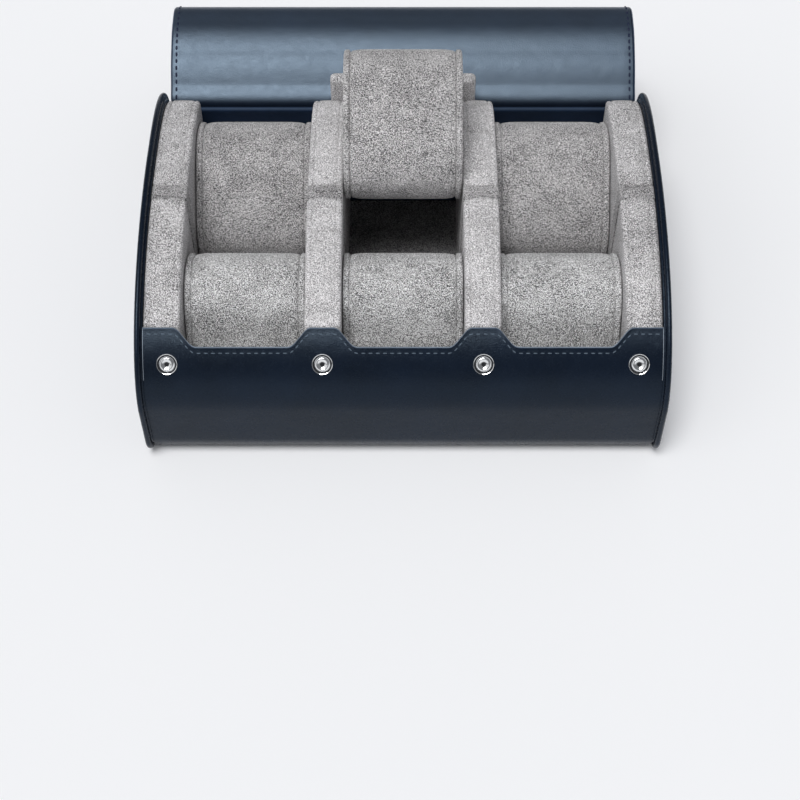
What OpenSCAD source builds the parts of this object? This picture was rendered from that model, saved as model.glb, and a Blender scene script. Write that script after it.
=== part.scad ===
// Travel case for six watches: a soft leather box, rounded in section, with a flap lid that
// wraps over the top and snaps to the front wall. Inside, suede blocks and dividers make two
// rows of three slots, and each slot holds a watch pillow on its own backrest.
// +X right, +Y to the back, +Z up. The origin is the middle of the underside.

/* [Case] */
// Width over both end panels
case_w = 276; // [230:1:330]
// Depth from the front wall to the back wall
case_d = 198; // [186:1:216]
// Height at the crown
case_h = 104; // [98:1:114]
// How far behind the middle the crown lies
crown_y = 30; // [20:1:38]
// Height at which the front is furthest forward
front_z = 38; // [34:1:44]
// Height at which the back wall starts to turn forward
back_z = 67; // [60:1:72]
// Radius of the front bottom edge
front_r = 14; // [10:1:33]
// Radius of the back bottom edge
back_r = 12; // [8:1:20]

/* [Leather and board] */
// Thickness of the leather
leather_t = 1.6; // [1.2:0.1:2.2]
// Thickness of the lid's lining
lining_t = 1.4; // [1.0:0.1:1.8]
// Thickness of the stiff boards in the walls and base
board_t = 2; // [1.5:0.1:2.6]
// Thickness of the board in an end panel
end_board_t = 1.4; // [1:0.1:2]
// Thickness of the leather facing inside an end panel
end_lining_t = 1; // [0.8:0.1:1.4]
// Thickness of the suede on the floor and the back wall
suede_t = 1; // [0.8:0.1:1.4]
// Gap between the closed lid and what it covers
lid_gap = 0.4; // [0.3:0.1:1]
// Gap between the lid's side edge and an end panel
side_gap = 0.3; // [0.2:0.1:1]

/* [Front wall] */
// Width of the low part of the front wall's top edge at a slot
dip_low_w = 51; // [40:1:60]
// Width of the same dip at the top of the tabs
dip_top_w = 67.5; // [62:0.5:76]
// Radius of the lid's front corners
lid_corner_r = 12; // [6:1:20]

/* [Blocks] */
// Width of a slot
slot_w = 64; // [56:0.5:70]
// Width of a divider between two slots
divider_w = 19; // [15:0.5:26]
// How far the blocks' tops lie under the outside of the closed lid
block_inset = 3.8; // [3.8:0.1:6]
// Thickness of the cross partition
partition_t = 9; // [6:0.5:12]
// Front face of the cross partition
partition_y = 1; // [-4:0.5:6]
// Height of the cross partition inside a slot
partition_low = 40; // [20:1:42]
// Depth of the slide for the wings, behind the rear blocks
wing_gap = 8.6; // [8.2:0.1:12]

/* [Pillows] */
// Length of a pillow's section
pillow_l = 78; // [60:1:80]
// Thickness of a pillow's section
pillow_t = 48; // [36:1:50]
// Tilt of a back pillow from the level
pillow_tilt = 40; // [30:1:50]
// Tilt of a front pillow, which stands steeper to pass behind the front wall
front_tilt = 66; // [55:1:75]
// Height of a front pillow's middle over the floor
front_pillow_z = 39; // [38:0.5:44]
// Height of a back pillow's middle over the floor
back_pillow_z = 53; // [40:0.5:58]
// Gap on each side of a pillow in its slot
pillow_gap = 0.4; // [0.3:0.1:2]
// Thickness of a front backrest
front_rest_t = 11.5; // [9:0.5:13]
// Thickness of a back backrest inside the slot
rest_t = 14; // [10:0.5:16]
// Height of a backrest over the floor
rest_h = 49; // [36:1:54]
// Thickness of a wing
wing_t = 7; // [5:0.5:7]
// Reach of a wing to the side of its slot
wing_reach = 9; // [5:0.5:9.2]
// How far the raised pillow is pulled up
raise = 52; // [30:1:60]

/* [Snaps] */
// Diameter of a snap cap and of a stud's flange
snap_d = 11.2; // [9:0.1:14]
// Height of a cap over the lid
cap_h = 2.2; // [1.5:0.1:2.6]
// Diameter of a stud's post
post_d = 4.2; // [3:0.1:5]
// Diameter of the hole in a socket
socket_d = 7.2; // [6.6:0.1:8]
// How far inside an end panel the outer snaps lie
snap_side_in = 12.5; // [9:0.5:18]

/* [Hidden] */

navy = "#27344c";
navy_dark = "#1b2538";
suede = "#c9c6c4";
chrome = "#d9dce0";
board = "#6f6a63";

$fn = 48;
half_d = case_d / 2;
lid_t = leather_t + lining_t;
wall_in = lid_t + lid_gap;
wall_back = wall_in + leather_t;
board_back = wall_back + board_t;
floor_z = leather_t + board_t + suede_t;
end_t = leather_t + end_board_t;
inner_x = case_w / 2 - end_t - end_lining_t;
lid_w = case_w - 2 * end_t - 2 * side_gap;
back_in = leather_t + board_t + suede_t;
rear_end = half_d - back_in - wing_gap;
fit = 0.05;
shape_n = 3;
fine = 10 / 3;

// The outline of the case in the YZ plane. i is how far a point lies inside the outside.
// Front: a quarter ellipse from the crown at 0 to the furthest forward point at 90.
function front_pt(i, a) =
    [crown_y - (half_d + crown_y - i) * sin(a), front_z + (case_h - front_z - i) * cos(a)];
// Back: a fuller quarter from the crown at 0 to the back wall at 90.
function back_pt(i, a) =
    [crown_y + (half_d - crown_y - i) * pow(abs(sin(a)), 2 / shape_n),
     back_z + (case_h - back_z - i) * pow(abs(cos(a)), 2 / shape_n)];
// Front bottom edge, from the front at 0 to the underside at 90, u inside the underside.
function front_low_pt(i, u, a) =
    [-half_d + front_r - (front_r - i) * cos(a), front_r - (front_r - u) * sin(a)];
// Back bottom edge, from the back wall at 0 to the underside at 90.
function back_low_pt(i, u, a) =
    [half_d - back_r + (back_r - i) * cos(a), back_r - (back_r - u) * sin(a)];

function outline(i, u) = concat(
    [for (a = [90 : -fine : 0.1]) back_pt(i, a)],
    [for (a = [10, 6, 3, 1, 0]) back_pt(i, a / 3)],
    [for (a = [fine : fine : 90.1]) front_pt(i, a)],
    [for (a = [0 : 9 : 90]) front_low_pt(i, u, a)],
    [for (a = [90 : -15 : 0]) back_low_pt(i, u, a)]);

// The lid's run, from the back wall forward to its front edge, as [part, angle] pairs
back_stops = [80, 50, 25, 10, 5];
front_stops = [20, 40, 50, 230 / 3];
hinge_a = back_stops[0];
lid_end_a = front_stops[3];
tab_a = 16 * fine;
dip_a = 18 * fine;
snap_a = 65;

function run_pt(i, s) = s[0] == 0 ? back_pt(i, s[1]) : front_pt(i, s[1]);
function back_run(a, b) = [for (k = [0 : 1 : ceil((a - b) / 4)])
    [0, a - k * (a - b) / ceil((a - b) / 4)]];
function front_run(a, b) = [for (k = [0 : 1 : round((b - a) / fine)]) [1, a + k * fine]];
// the crown end of the back quarter is sampled finely because it is flat there
crown_run = [for (a = [5, 3, 1.5, 0.5, 0]) [0, a]];
runs = [back_run(back_stops[0], back_stops[1]), back_run(back_stops[1], back_stops[2]),
        back_run(back_stops[2], back_stops[3]), back_run(back_stops[3], back_stops[4]),
        concat(crown_run, front_run(fine, front_stops[0])),
        front_run(front_stops[0], front_stops[1]), front_run(front_stops[1], front_stops[2]),
        front_run(front_stops[2], front_stops[3])];
stops = concat([for (a = back_stops) [0, a]], [for (a = front_stops) [1, a]]);

// Length and heading of each stretch of the closed lid, and its heading when it hangs open
function dir(v) = atan2(v[1], v[0]) < -90 ? atan2(v[1], v[0]) + 360 : atan2(v[1], v[0]);
chord = [for (k = [0 : 7]) run_pt(0, stops[k + 1]) - run_pt(0, stops[k])];
reach = [for (c = chord) norm(c)];
closed_dir = [for (c = chord) dir(c)];
rise_dirs = [38, 28, 8, -30];
tail_dirs = [-28, 1];
tail_z = 7.4;
arch_z = run_pt(0, stops[0])[1]
    + reach[0] * sin(rise_dirs[0]) + reach[1] * sin(rise_dirs[1])
    + reach[2] * sin(rise_dirs[2]) + reach[3] * sin(rise_dirs[3]);
fall = asin((arch_z - tail_z + reach[6] * sin(tail_dirs[0])) / (reach[4] + reach[5]));
open_dir = concat(rise_dirs, [-fall, -fall], tail_dirs);
swing = [for (k = [0 : 7]) open_dir[k] - closed_dir[k]];
bend = [for (k = [0 : 7]) k == 0 ? swing[0] : swing[k] - swing[k - 1]];
// a joint that folds back turns on the outside of the lid, one that curls in on its inside
axle = [for (k = [0 : 7]) run_pt(bend[k] > 0 ? lid_t : 0, stops[k])];

// Turns a closed stretch of the lid to where it lies when the lid hangs open
module hang(k) {
    if (k < 0)
        children();
    else
        hang(k - 1)
            translate([0, axle[k][0], axle[k][1]])
            rotate([bend[k], 0, 0])
            translate([0, -axle[k][0], -axle[k][1]])
            children();
}

// Extrudes an outline drawn in YZ along X
module slab(x0, x1) {
    translate([x0, 0, 0])
        rotate([90, 0, 90])
        linear_extrude(x1 - x0)
        children();
}

// Places its children on the front wall or lid at the snaps' height, i inside the outside
snap_tilt = atan2(sin(snap_a) / (half_d + crown_y), cos(snap_a) / (case_h - front_z));
snap_xs = [-inner_x + snap_side_in, -(slot_w + divider_w) / 2, (slot_w + divider_w) / 2,
           inner_x - snap_side_in];
// depth along a snap's axis for each unit of inset
snap_step = cos(snap_a - snap_tilt);
module at_snaps(i) {
    for (x = snap_xs)
        translate([x, front_pt(0, snap_a)[0], front_pt(0, snap_a)[1]])
            rotate([snap_tilt, 0, 0])
            translate([0, 0, -i * snap_step])
            children();
}

// ---- the shell

function wrap_path(back, front, under) = concat(
    [for (a = [hinge_a : fine : 90.1]) back_pt(back, a)],
    [for (a = [0 : 15 : 90]) back_low_pt(back, under, a)],
    [for (a = [90 : -9 : 0]) front_low_pt(front, under, a)],
    [for (a = [90 : -fine : tab_a - 0.1]) front_pt(front, a)]);
function flip(p) = [for (k = [len(p) - 1 : -1 : 0]) p[k]];
slot_xs = [-slot_w - divider_w, 0, slot_w + divider_w];

module leather_wrap() {
    outer = wrap_path(0, wall_in, 0);
    inner = wrap_path(leather_t, wall_back, leather_t);
    dip_z = front_pt(wall_in, dip_a)[1];
    tab_z = front_pt(wall_in, tab_a)[1];
    color(navy)
    difference() {
        slab(-inner_x, inner_x)
            polygon(concat(outer, flip(inner)));
        for (x = slot_xs)
            translate([x, 0, 0])
                rotate([90, 0, 0])
                linear_extrude(case_d)
                polygon([[-dip_low_w / 2, dip_z], [dip_low_w / 2, dip_z],
                         [dip_top_w / 2, tab_z], [dip_top_w / 2, case_h],
                         [-dip_top_w / 2, case_h], [-dip_top_w / 2, tab_z]]);
        at_snaps(wall_in)
            cylinder(h = 10, d = snap_d + 0.4, center = true);
    }
}

module base_board() {
    color(board)
    slab(-inner_x, inner_x)
        intersection() {
            polygon(outline(wall_back, leather_t));
            translate([-case_d, 0])
                square([2 * case_d, leather_t + board_t]);
        }
}

module floor_lining() {
    color(suede)
    slab(-inner_x, inner_x)
        intersection() {
            polygon(outline(wall_back, leather_t));
            translate([-case_d, leather_t + board_t])
                square([2 * case_d, suede_t]);
        }
}

// A stretch of wall that follows the front, from inset i1 to i2, up to angle a
module front_band(i1, i2, a) {
    polygon(concat(
        [for (s = [63 : -9 : 0]) front_low_pt(i1, leather_t, s)],
        [for (s = [90 : -fine : a - 0.1]) front_pt(i1, s)],
        [for (s = [a : fine : 90.1]) front_pt(i2, s)],
        [for (s = [0 : 9 : 63]) front_low_pt(i2, leather_t, s)]));
}

module front_board() {
    color(board)
    difference() {
        slab(-inner_x, inner_x)
            intersection() {
                front_band(wall_back, board_back, 19 * fine);
                translate([-case_d, floor_z])
                    square([case_d, case_h]);
            }
        at_snaps(wall_back)
            cylinder(h = 12, d = post_d + 0.4, center = true);
    }
}

module back_band(i1, i2) {
    polygon(concat(
        [for (a = [25 * fine : fine : 90.1]) back_pt(i1, a)],
        [for (a = [0 : 15 : 90]) back_low_pt(i1, leather_t, a)],
        [for (a = [90 : -15 : 0]) back_low_pt(i2, leather_t, a)],
        [for (a = [90 : -fine : 25 * fine - 0.1]) back_pt(i2, a)]));
}

module back_board() {
    color(board)
    slab(-inner_x, inner_x)
        intersection() {
            back_band(leather_t, leather_t + board_t);
            translate([0, floor_z])
                square([case_d, case_h]);
        }
}

module back_lining() {
    color(navy_dark)
    slab(-inner_x, inner_x)
        intersection() {
            back_band(leather_t + board_t, back_in);
            translate([0, floor_z])
                square([case_d, case_h]);
        }
}

module end_leather() {
    color(navy)
    slab(case_w / 2 - leather_t, case_w / 2)
        polygon(outline(0, 0));
}

module end_board() {
    color(board)
    slab(inner_x + end_lining_t, case_w / 2 - leather_t)
        polygon(outline(0.8, 0.8));
}

module end_lining() {
    color(navy_dark)
    slab(inner_x, inner_x + end_lining_t)
        polygon(outline(wall_in, 0));
}

// ---- the blocks

// Section of a block from y0 to y1, cut to the walls and the wrap in front of it
module block_section(y0, y1) {
    difference() {
        intersection() {
            polygon(outline(block_inset, leather_t));
            translate([y0, floor_z])
                square([y1 - y0, case_h]);
        }
        front_band(-6, wall_back + fit, tab_a);
        polygon([front_pt(-6, tab_a), front_pt(wall_back + fit, tab_a),
                 front_pt(wall_back + fit, tab_a - 0.3), front_pt(-6, tab_a - 0.3)]);
        front_band(wall_back - 1, board_back + fit, 19 * fine - fine);
    }
}

module block(x0, x1, y0, y1) {
    color(suede)
    difference() {
        slab(x0, x1)
            block_section(y0, y1);
        at_snaps(board_back)
            cylinder(h = 3, d = snap_d - 0.6, center = true);
    }
}

module front_block(x0, x1) {
    block(x0, x1, -half_d, partition_y);
}

module rear_block(x0, x1) {
    block(x0, x1, partition_y + partition_t, rear_end);
}

pad_x0 = 1.5 * slot_w + divider_w;

module cross_partition() {
    color(suede)
    difference() {
        slab(-inner_x, inner_x)
            intersection() {
                polygon(outline(block_inset, leather_t));
                translate([partition_y, floor_z])
                    square([partition_t, case_h]);
            }
        for (x = slot_xs)
            translate([x - slot_w / 2, partition_y - 1, partition_low])
                cube([slot_w, partition_t + 2, case_h]);
    }
}

// ---- the pillows and their backrests

front_rest_y = partition_y - 0.4;
back_rest_y = half_d - back_in - 1.2;
sink = 1.5;
pillow_w = slot_w - 2 * pillow_gap;
half_run = (pillow_l - pillow_t) / 2;

// An oval section that leans back on the plane y = face of a backrest
module pillow(x, face, z, tilt) {
    color(suede)
    translate([x - pillow_w / 2, 0, 0])
        slab(0, pillow_w)
        intersection() {
            translate([face + sink - half_run * cos(tilt) - pillow_t / 2, floor_z + z])
                rotate(tilt) {
                    translate([-half_run, 0])
                        circle(d = pillow_t);
                    translate([half_run, 0])
                        circle(d = pillow_t);
                    square([2 * half_run, pillow_t], center = true);
                }
            translate([-case_d, 0])
                square([case_d + face, 4 * case_h]);
        }
}

module front_pillow(x) {
    pillow(x, front_rest_y - front_rest_t, front_pillow_z, front_tilt);
}

module back_pillow(x) {
    pillow(x, back_rest_y - rest_t, back_pillow_z, pillow_tilt);
}

// A board t thick whose back is at rest_y, with its lower back edge cut away
module backrest(x0, x1, rest_y, t) {
    color(suede)
    slab(x0, x1)
        polygon([[rest_y - t, floor_z + fit], [rest_y - back_r / 3, floor_z + fit],
                 [rest_y, floor_z + back_r / 3], [rest_y, floor_z + rest_h],
                 [rest_y - t, floor_z + rest_h]]);
}

module front_backrest(x) {
    backrest(x - pillow_w / 2, x + pillow_w / 2, front_rest_y, front_rest_t);
}

module winged_backrest(x) {
    union() {
        backrest(x - pillow_w / 2, x + pillow_w / 2, back_rest_y, rest_t);
        backrest(x - slot_w / 2 - wing_reach, x + slot_w / 2 + wing_reach, back_rest_y, wing_t);
    }
}

// ---- the lid

// Each stretch stops just short of the next one's line, so that they never bind
joint_gap = 0.04;
function short_of_end(p) = let (n = len(p) - 1, v = p[n] - p[n - 1])
    concat([for (j = [0 : n - 1]) p[j]], [p[n] - joint_gap * v / norm(v)]);

module lid_strip(k, i1, i2) {
    slab(-lid_w / 2, lid_w / 2)
        polygon(concat(short_of_end([for (s = runs[k]) run_pt(i1, s)]),
                       flip(short_of_end([for (s = runs[k]) run_pt(i2, s)]))));
}

// What is cut from the two front corners to round them
module corner_cut() {
    edge_z = front_pt(0, lid_end_a)[1];
    for (side = [0, 1])
        mirror([side, 0, 0])
            difference() {
                translate([lid_w / 2 - lid_corner_r, -case_d, edge_z - 10])
                    cube([lid_corner_r + 5, case_d, 10 + lid_corner_r]);
                translate([lid_w / 2 - lid_corner_r, 0, edge_z + lid_corner_r])
                    rotate([90, 0, 0])
                    cylinder(h = 3 * case_d, r = lid_corner_r, center = true);
            }
}

module lid_leather(k) {
    color(k < 4 ? navy_dark : navy)
    hang(k)
        difference() {
            lid_strip(k, 0, leather_t);
            if (k == 7)
                corner_cut();
            if (k == 7)
                at_snaps(0)
                    cylinder(h = 8, d = post_d + 0.2, center = true);
        }
}

module lid_lining(k) {
    color(k < 4 ? navy_dark : suede)
    hang(k)
        difference() {
            lid_strip(k, leather_t, lid_t);
            if (k == 7)
                corner_cut();
            if (k == 7)
                at_snaps(leather_t)
                    cylinder(h = 8, d = snap_d + 0.2, center = true);
        }
}

// ---- the snaps

// a flat disc on a curved wall stands this far off the wall in its middle
seat_gap = 0.3;
// a stud's tail ends just short of its washer
tail_l = (board_back - wall_in) * snap_step + seat_gap - fit;

module snap_caps() {
    color(chrome)
    hang(7)
        at_snaps(0)
        union() {
            rotate_extrude()
                intersection() {
                    translate([0, cap_h - snap_d * snap_d / 8 / cap_h - cap_h / 2])
                        circle(r = snap_d * snap_d / 8 / cap_h + cap_h / 2);
                    translate([0, 0.05])
                        square([snap_d, cap_h]);
                }
            translate([0, 0, -leather_t + 0.1])
                cylinder(h = leather_t, d = post_d);
        }
}

module snap_sockets() {
    color(chrome)
    hang(7)
        at_snaps(leather_t)
        translate([0, 0, -lining_t])
        difference() {
            cylinder(h = lining_t - seat_gap, d = snap_d);
            translate([0, 0, -1])
                cylinder(h = lining_t + 0.5, d = socket_d);
        }
}

module snap_studs() {
    color(chrome)
    at_snaps(wall_in)
        union() {
            translate([0, 0, -leather_t + fit])
                cylinder(h = leather_t - fit, d = snap_d);
            cylinder(h = lid_gap + 0.5, d = post_d);
            translate([0, 0, -tail_l])
                cylinder(h = tail_l, d = post_d - 0.6);
        }
}

module snap_washers() {
    color(chrome)
    at_snaps(board_back)
        translate([0, 0, -1 - seat_gap])
        cylinder(h = 1, d = snap_d - 1.4);
}

leather_wrap();
base_board();
front_board();
back_board();
floor_lining();
back_lining();
mirror([1, 0, 0]) end_leather();  // left_end_leather
mirror([1, 0, 0]) end_board();  // left_end_board
mirror([1, 0, 0]) end_lining();  // left_end_lining
end_leather();  // right_end_leather
end_board();  // right_end_board
end_lining();  // right_end_lining
front_block(-inner_x, -pad_x0);  // left_end_pad_front
rear_block(-inner_x, -pad_x0);  // left_end_pad_rear
front_block(-slot_w / 2 - divider_w, -slot_w / 2);  // left_divider_front
rear_block(-slot_w / 2 - divider_w, -slot_w / 2);  // left_divider_rear
front_block(slot_w / 2, slot_w / 2 + divider_w);  // right_divider_front
rear_block(slot_w / 2, slot_w / 2 + divider_w);  // right_divider_rear
front_block(pad_x0, inner_x);  // right_end_pad_front
rear_block(pad_x0, inner_x);  // right_end_pad_rear
cross_partition();
front_pillow(slot_xs[0]);  // front_left_pillow
front_pillow(slot_xs[1]);  // front_middle_pillow
front_pillow(slot_xs[2]);  // front_right_pillow
back_pillow(slot_xs[0]);  // back_left_pillow
translate([0, 0, raise]) back_pillow(slot_xs[1]);  // back_middle_pillow
back_pillow(slot_xs[2]);  // back_right_pillow
front_backrest(slot_xs[0]);  // front_left_backrest
front_backrest(slot_xs[1]);  // front_middle_backrest
front_backrest(slot_xs[2]);  // front_right_backrest
winged_backrest(slot_xs[0]);  // back_left_backrest
translate([0, 0, raise]) winged_backrest(slot_xs[1]);  // back_middle_backrest
winged_backrest(slot_xs[2]);  // back_right_backrest
lid_leather(0);  // lid_leather_1
lid_leather(1);  // lid_leather_2
lid_leather(2);  // lid_leather_3
lid_leather(3);  // lid_leather_4
lid_leather(4);  // lid_leather_5
lid_leather(5);  // lid_leather_6
lid_leather(6);  // lid_leather_7
lid_leather(7);  // lid_leather_8
lid_lining(0);  // lid_lining_1
lid_lining(1);  // lid_lining_2
lid_lining(2);  // lid_lining_3
lid_lining(3);  // lid_lining_4
lid_lining(4);  // lid_lining_5
lid_lining(5);  // lid_lining_6
lid_lining(6);  // lid_lining_7
lid_lining(7);  // lid_lining_8
snap_caps();
snap_sockets();
snap_studs();
snap_washers();
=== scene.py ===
import math

import bmesh
import bpy
import numpy as np
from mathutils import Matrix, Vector


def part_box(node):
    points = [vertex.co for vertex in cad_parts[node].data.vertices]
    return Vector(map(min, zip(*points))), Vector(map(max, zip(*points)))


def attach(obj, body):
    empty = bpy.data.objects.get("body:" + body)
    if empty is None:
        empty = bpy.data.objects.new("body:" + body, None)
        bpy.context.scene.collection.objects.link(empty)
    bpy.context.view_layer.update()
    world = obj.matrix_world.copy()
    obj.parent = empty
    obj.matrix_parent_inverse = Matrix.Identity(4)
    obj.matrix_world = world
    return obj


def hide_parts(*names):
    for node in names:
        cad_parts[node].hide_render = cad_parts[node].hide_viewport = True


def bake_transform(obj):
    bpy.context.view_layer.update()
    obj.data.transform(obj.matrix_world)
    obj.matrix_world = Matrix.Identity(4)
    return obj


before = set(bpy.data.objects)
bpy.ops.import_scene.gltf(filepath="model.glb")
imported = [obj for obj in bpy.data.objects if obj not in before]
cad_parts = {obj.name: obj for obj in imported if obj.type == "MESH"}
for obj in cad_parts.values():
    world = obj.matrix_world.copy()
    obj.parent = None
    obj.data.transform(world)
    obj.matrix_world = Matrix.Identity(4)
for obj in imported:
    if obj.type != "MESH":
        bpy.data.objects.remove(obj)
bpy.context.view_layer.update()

bl_info = {
    "name": "Watch travel case",
    "version": (1, 0, 0),
    "blender": (4, 5, 0),
    "location": "3D View > Sidebar > Watch case",
    "description": "Soft leather travel case with a flap lid, suede blocks and watch pillows",
    "category": "Add Mesh",
}


# ---------------------------------------------------------------- sizes and colours

def length(name, description, default):
    """A length in metres that a user may change."""
    return bpy.props.FloatProperty(name=name, description=description, default=default,
                                   min=0.0, soft_max=0.5, precision=4, unit="LENGTH")


def colour(name, description, default):
    """A linear colour that a user may change."""
    return bpy.props.FloatVectorProperty(name=name, description=description, default=default,
                                         size=3, min=0.0, max=1.0, subtype="COLOR")


class CaseSizes(bpy.types.PropertyGroup):
    """Sizes of the shell, the lid and the blocks."""
    half_width: length("Half width", "Middle to the outside of an end panel", 0.138)
    half_depth: length("Half depth", "Middle to the front or back wall", 0.099)
    height: length("Height", "Height of the crown", 0.104)
    crown_y: length("Crown", "How far behind the middle the crown lies", 0.030)
    front_z: length("Front height", "Where the front is furthest forward", 0.038)
    back_z: length("Back height", "Where the back wall turns forward", 0.067)
    front_r: length("Front bottom radius", "Radius of the front bottom edge", 0.014)
    back_r: length("Back bottom radius", "Radius of the back bottom edge", 0.012)
    leather: length("Leather", "Thickness of the leather", 0.0016)
    lid: length("Lid", "Thickness of the lid with its lining", 0.003)
    wall_in: length("Front wall inset", "How far the front wall lies under the lid's outside",
                    0.0034)
    floor_z: length("Floor", "Height of the lined floor", 0.0046)
    lid_half: length("Lid half width", "Middle to the lid's side edge", 0.1347)
    lid_corner: length("Lid corner", "Radius of the lid's front corners", 0.012)
    inner_x: length("Inside half width", "Middle to the lining of an end panel", 0.134)
    slot_w: length("Slot", "Width of a slot", 0.064)
    divider_w: length("Divider", "Width of a divider", 0.019)
    block_inset: length("Block inset", "How far the blocks lie under the lid's outside", 0.0038)
    partition_y: length("Partition front", "Front face of the cross partition", 0.001)
    partition_t: length("Partition", "Thickness of the cross partition", 0.009)
    partition_low: length("Partition in a slot", "Height of the partition in a slot", 0.040)
    rear_end: length("Rear blocks' end", "Back face of the rear blocks", 0.0858)
    dip_low: length("Dip", "Width of a dip in the front wall at its foot", 0.051)
    dip_top: length("Dip top", "Width of a dip in the front wall at the tabs", 0.0675)


class PillowSizes(bpy.types.PropertyGroup):
    """Sizes of the pillows and their backrests."""
    half_w: length("Half width", "Half the width of a pillow", 0.0316)
    run: length("Half run", "Half the distance between a section's two round ends", 0.015)
    round_r: length("Round", "Radius of a pillow's round ends", 0.024)
    sink: length("Sink", "How far a pillow is pressed flat on its backrest", 0.0015)
    front_face: length("Front face", "Where the front pillows meet their backrests", -0.0109)
    back_face: length("Back face", "Where the back pillows meet their backrests", 0.0792)
    front_z: length("Front height", "Height of a front pillow's middle", 0.0436)
    back_z: length("Back height", "Height of a back pillow's middle", 0.0576)
    front_tilt: bpy.props.FloatProperty(name="Front tilt", description="Lean of a front pillow",
                                        default=math.radians(66), subtype="ANGLE")
    back_tilt: bpy.props.FloatProperty(name="Back tilt", description="Lean of a back pillow",
                                       default=math.radians(40), subtype="ANGLE")
    raised: length("Raised", "How far the middle back pillow is pulled up", 0.052)
    seam_in: length("Seam", "Distance of the end seams from a pillow's ends", 0.0032)


class CaseColours(bpy.types.PropertyGroup):
    """Colours of the leather, the suede and the metal."""
    navy: colour("Navy leather", "Colour of the leather", (0.0030, 0.0060, 0.0135))
    thread: colour("Thread", "Colour of the stitching", (0.004, 0.010, 0.036))
    suede: colour("Suede", "Colour of the blocks and dividers", (0.425, 0.415, 0.420))
    pillow: colour("Pillow suede", "Colour of the pillows", (0.410, 0.400, 0.402))
    board: colour("Board", "Colour of the stiff boards", (0.16, 0.145, 0.125))
    chrome: colour("Chrome", "Colour of the snaps", (0.80, 0.81, 0.82))
    floor: colour("Floor", "Colour of the floor and backdrop", (0.94, 0.945, 0.96))


# ---------------------------------------------------------------- the outline of the case

# Angles round the closed outline, in degrees from the crown to the front or to the back wall.
SNAP_ANGLE = 65.0
TAB_ANGLE = 160 / 3
DIP_ANGLE = 60.0
BACK_STOPS = (80.0, 50.0, 25.0, 10.0, 5.0)
FRONT_STOPS = (20.0, 40.0, 50.0, 230 / 3)
# Headings of the open lid's stretches above the level, in degrees: the four that rise from the
# back wall and the last two, with the height at which the tail begins.
RISE = (38.0, 28.0, 8.0, -30.0)
TAIL = (-28.0, 1.0)
TAIL_Z = 0.0074
CLOSE = 0.0001          # air between pieces that touch
BOARD_T = 0.0020        # thickness of the front and back boards


def pairs(y, z):
    """Points (y, z) from two arrays, or from an array and a number."""
    return np.stack(np.broadcast_arrays(y, z), -1)


def front_point(g, inset, deg):
    """Front quarter ellipse (y, z): 0 degrees is the crown and 90 the furthest forward."""
    a = np.radians(deg)
    y = g.crown_y - (g.half_depth + g.crown_y - inset) * np.sin(a)
    z = g.front_z + (g.height - g.front_z - inset) * np.cos(a)
    return pairs(y, z)


def back_point(g, inset, deg):
    """Back quarter (y, z), a superellipse of power 3: 0 degrees is the crown, 90 the wall."""
    a = np.radians(deg)
    y = g.crown_y + (g.half_depth - g.crown_y - inset) * np.abs(np.sin(a)) ** (2 / 3)
    z = g.back_z + (g.height - g.back_z - inset) * np.abs(np.cos(a)) ** (2 / 3)
    return pairs(y, z)


def front_low(g, inset, under, deg):
    """Front bottom edge (y, z), from the front at 0 to the underside at 90 degrees."""
    a = np.radians(deg)
    y = -g.half_depth + g.front_r - (g.front_r - inset) * np.cos(a)
    z = g.front_r - (g.front_r - under) * np.sin(a)
    return pairs(y, z)


def back_low(g, inset, under, deg):
    """Back bottom edge (y, z), from the back wall at 0 to the underside at 90 degrees."""
    a = np.radians(deg)
    y = g.half_depth - g.back_r + (g.back_r - inset) * np.cos(a)
    z = g.back_r - (g.back_r - under) * np.sin(a)
    return pairs(y, z)


def outline(g, inset, under):
    """The closed outline of the case for each inset in a column: back quarter to the crown,
    front quarter, front bottom edge, underside, back bottom edge and back wall."""
    inset = np.asarray(inset, float)[..., None]
    under = np.asarray(under, float)[..., None]
    steps = np.linspace(0.12, 0.88, 9)[:, None]
    front_foot = front_low(g, inset, under, 0.0)
    front_top = front_point(g, inset, 90.0)
    base_a, base_b = front_low(g, inset, under, 90.0), back_low(g, inset, under, 90.0)
    wall_a, wall_b = back_low(g, inset, under, 0.0), back_point(g, inset, 90.0)
    return np.concatenate([
        back_point(g, inset, np.linspace(90, 0, 46)[:-1]),
        front_point(g, inset, np.linspace(0, 90, 64)),
        front_top + (front_foot - front_top) * steps[:2],
        front_low(g, inset, under, np.linspace(0, 90, 22)),
        base_a + (base_b - base_a) * steps,
        back_low(g, inset, under, np.linspace(90, 0, 16)),
        wall_a + (wall_b - wall_a) * steps[::2],
    ], axis=-2)


def top_height(g, inset, y):
    """Height of the inset outline over a point y of the depth, in front of and behind the crown."""
    s = np.clip((g.crown_y - y) / (g.half_depth + g.crown_y - inset), 0, 1)
    ahead = g.front_z + (g.height - g.front_z - inset) * np.sqrt(1 - s * s)
    b = np.clip((y - g.crown_y) / (g.half_depth - g.crown_y - inset), 0, 1) ** 1.5
    behind = g.back_z + (g.height - g.back_z - inset) * (1 - b * b) ** (1 / 3)
    return np.where(y < g.crown_y, ahead, behind)


def front_angle(g, inset, z):
    """The front ellipse's angle, in degrees, at a height: the arc cosine of its share."""
    return np.degrees(np.arccos((z - g.front_z) / (g.height - g.front_z - inset)))


def unit(v):
    """Vectors of length one."""
    return v / np.maximum(np.linalg.norm(v, axis=-1, keepdims=True), 1e-12)


def lengths(path):
    """The length of a path up to each of its points."""
    return np.concatenate([[0], np.cumsum(np.linalg.norm(np.diff(path, axis=0), axis=1))])


def along(path, run, at):
    """The points of a path at the lengths at, where run is the length up to each point."""
    return np.stack([np.interp(at, run, path[:, k]) for k in range(path.shape[1])], -1)


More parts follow.
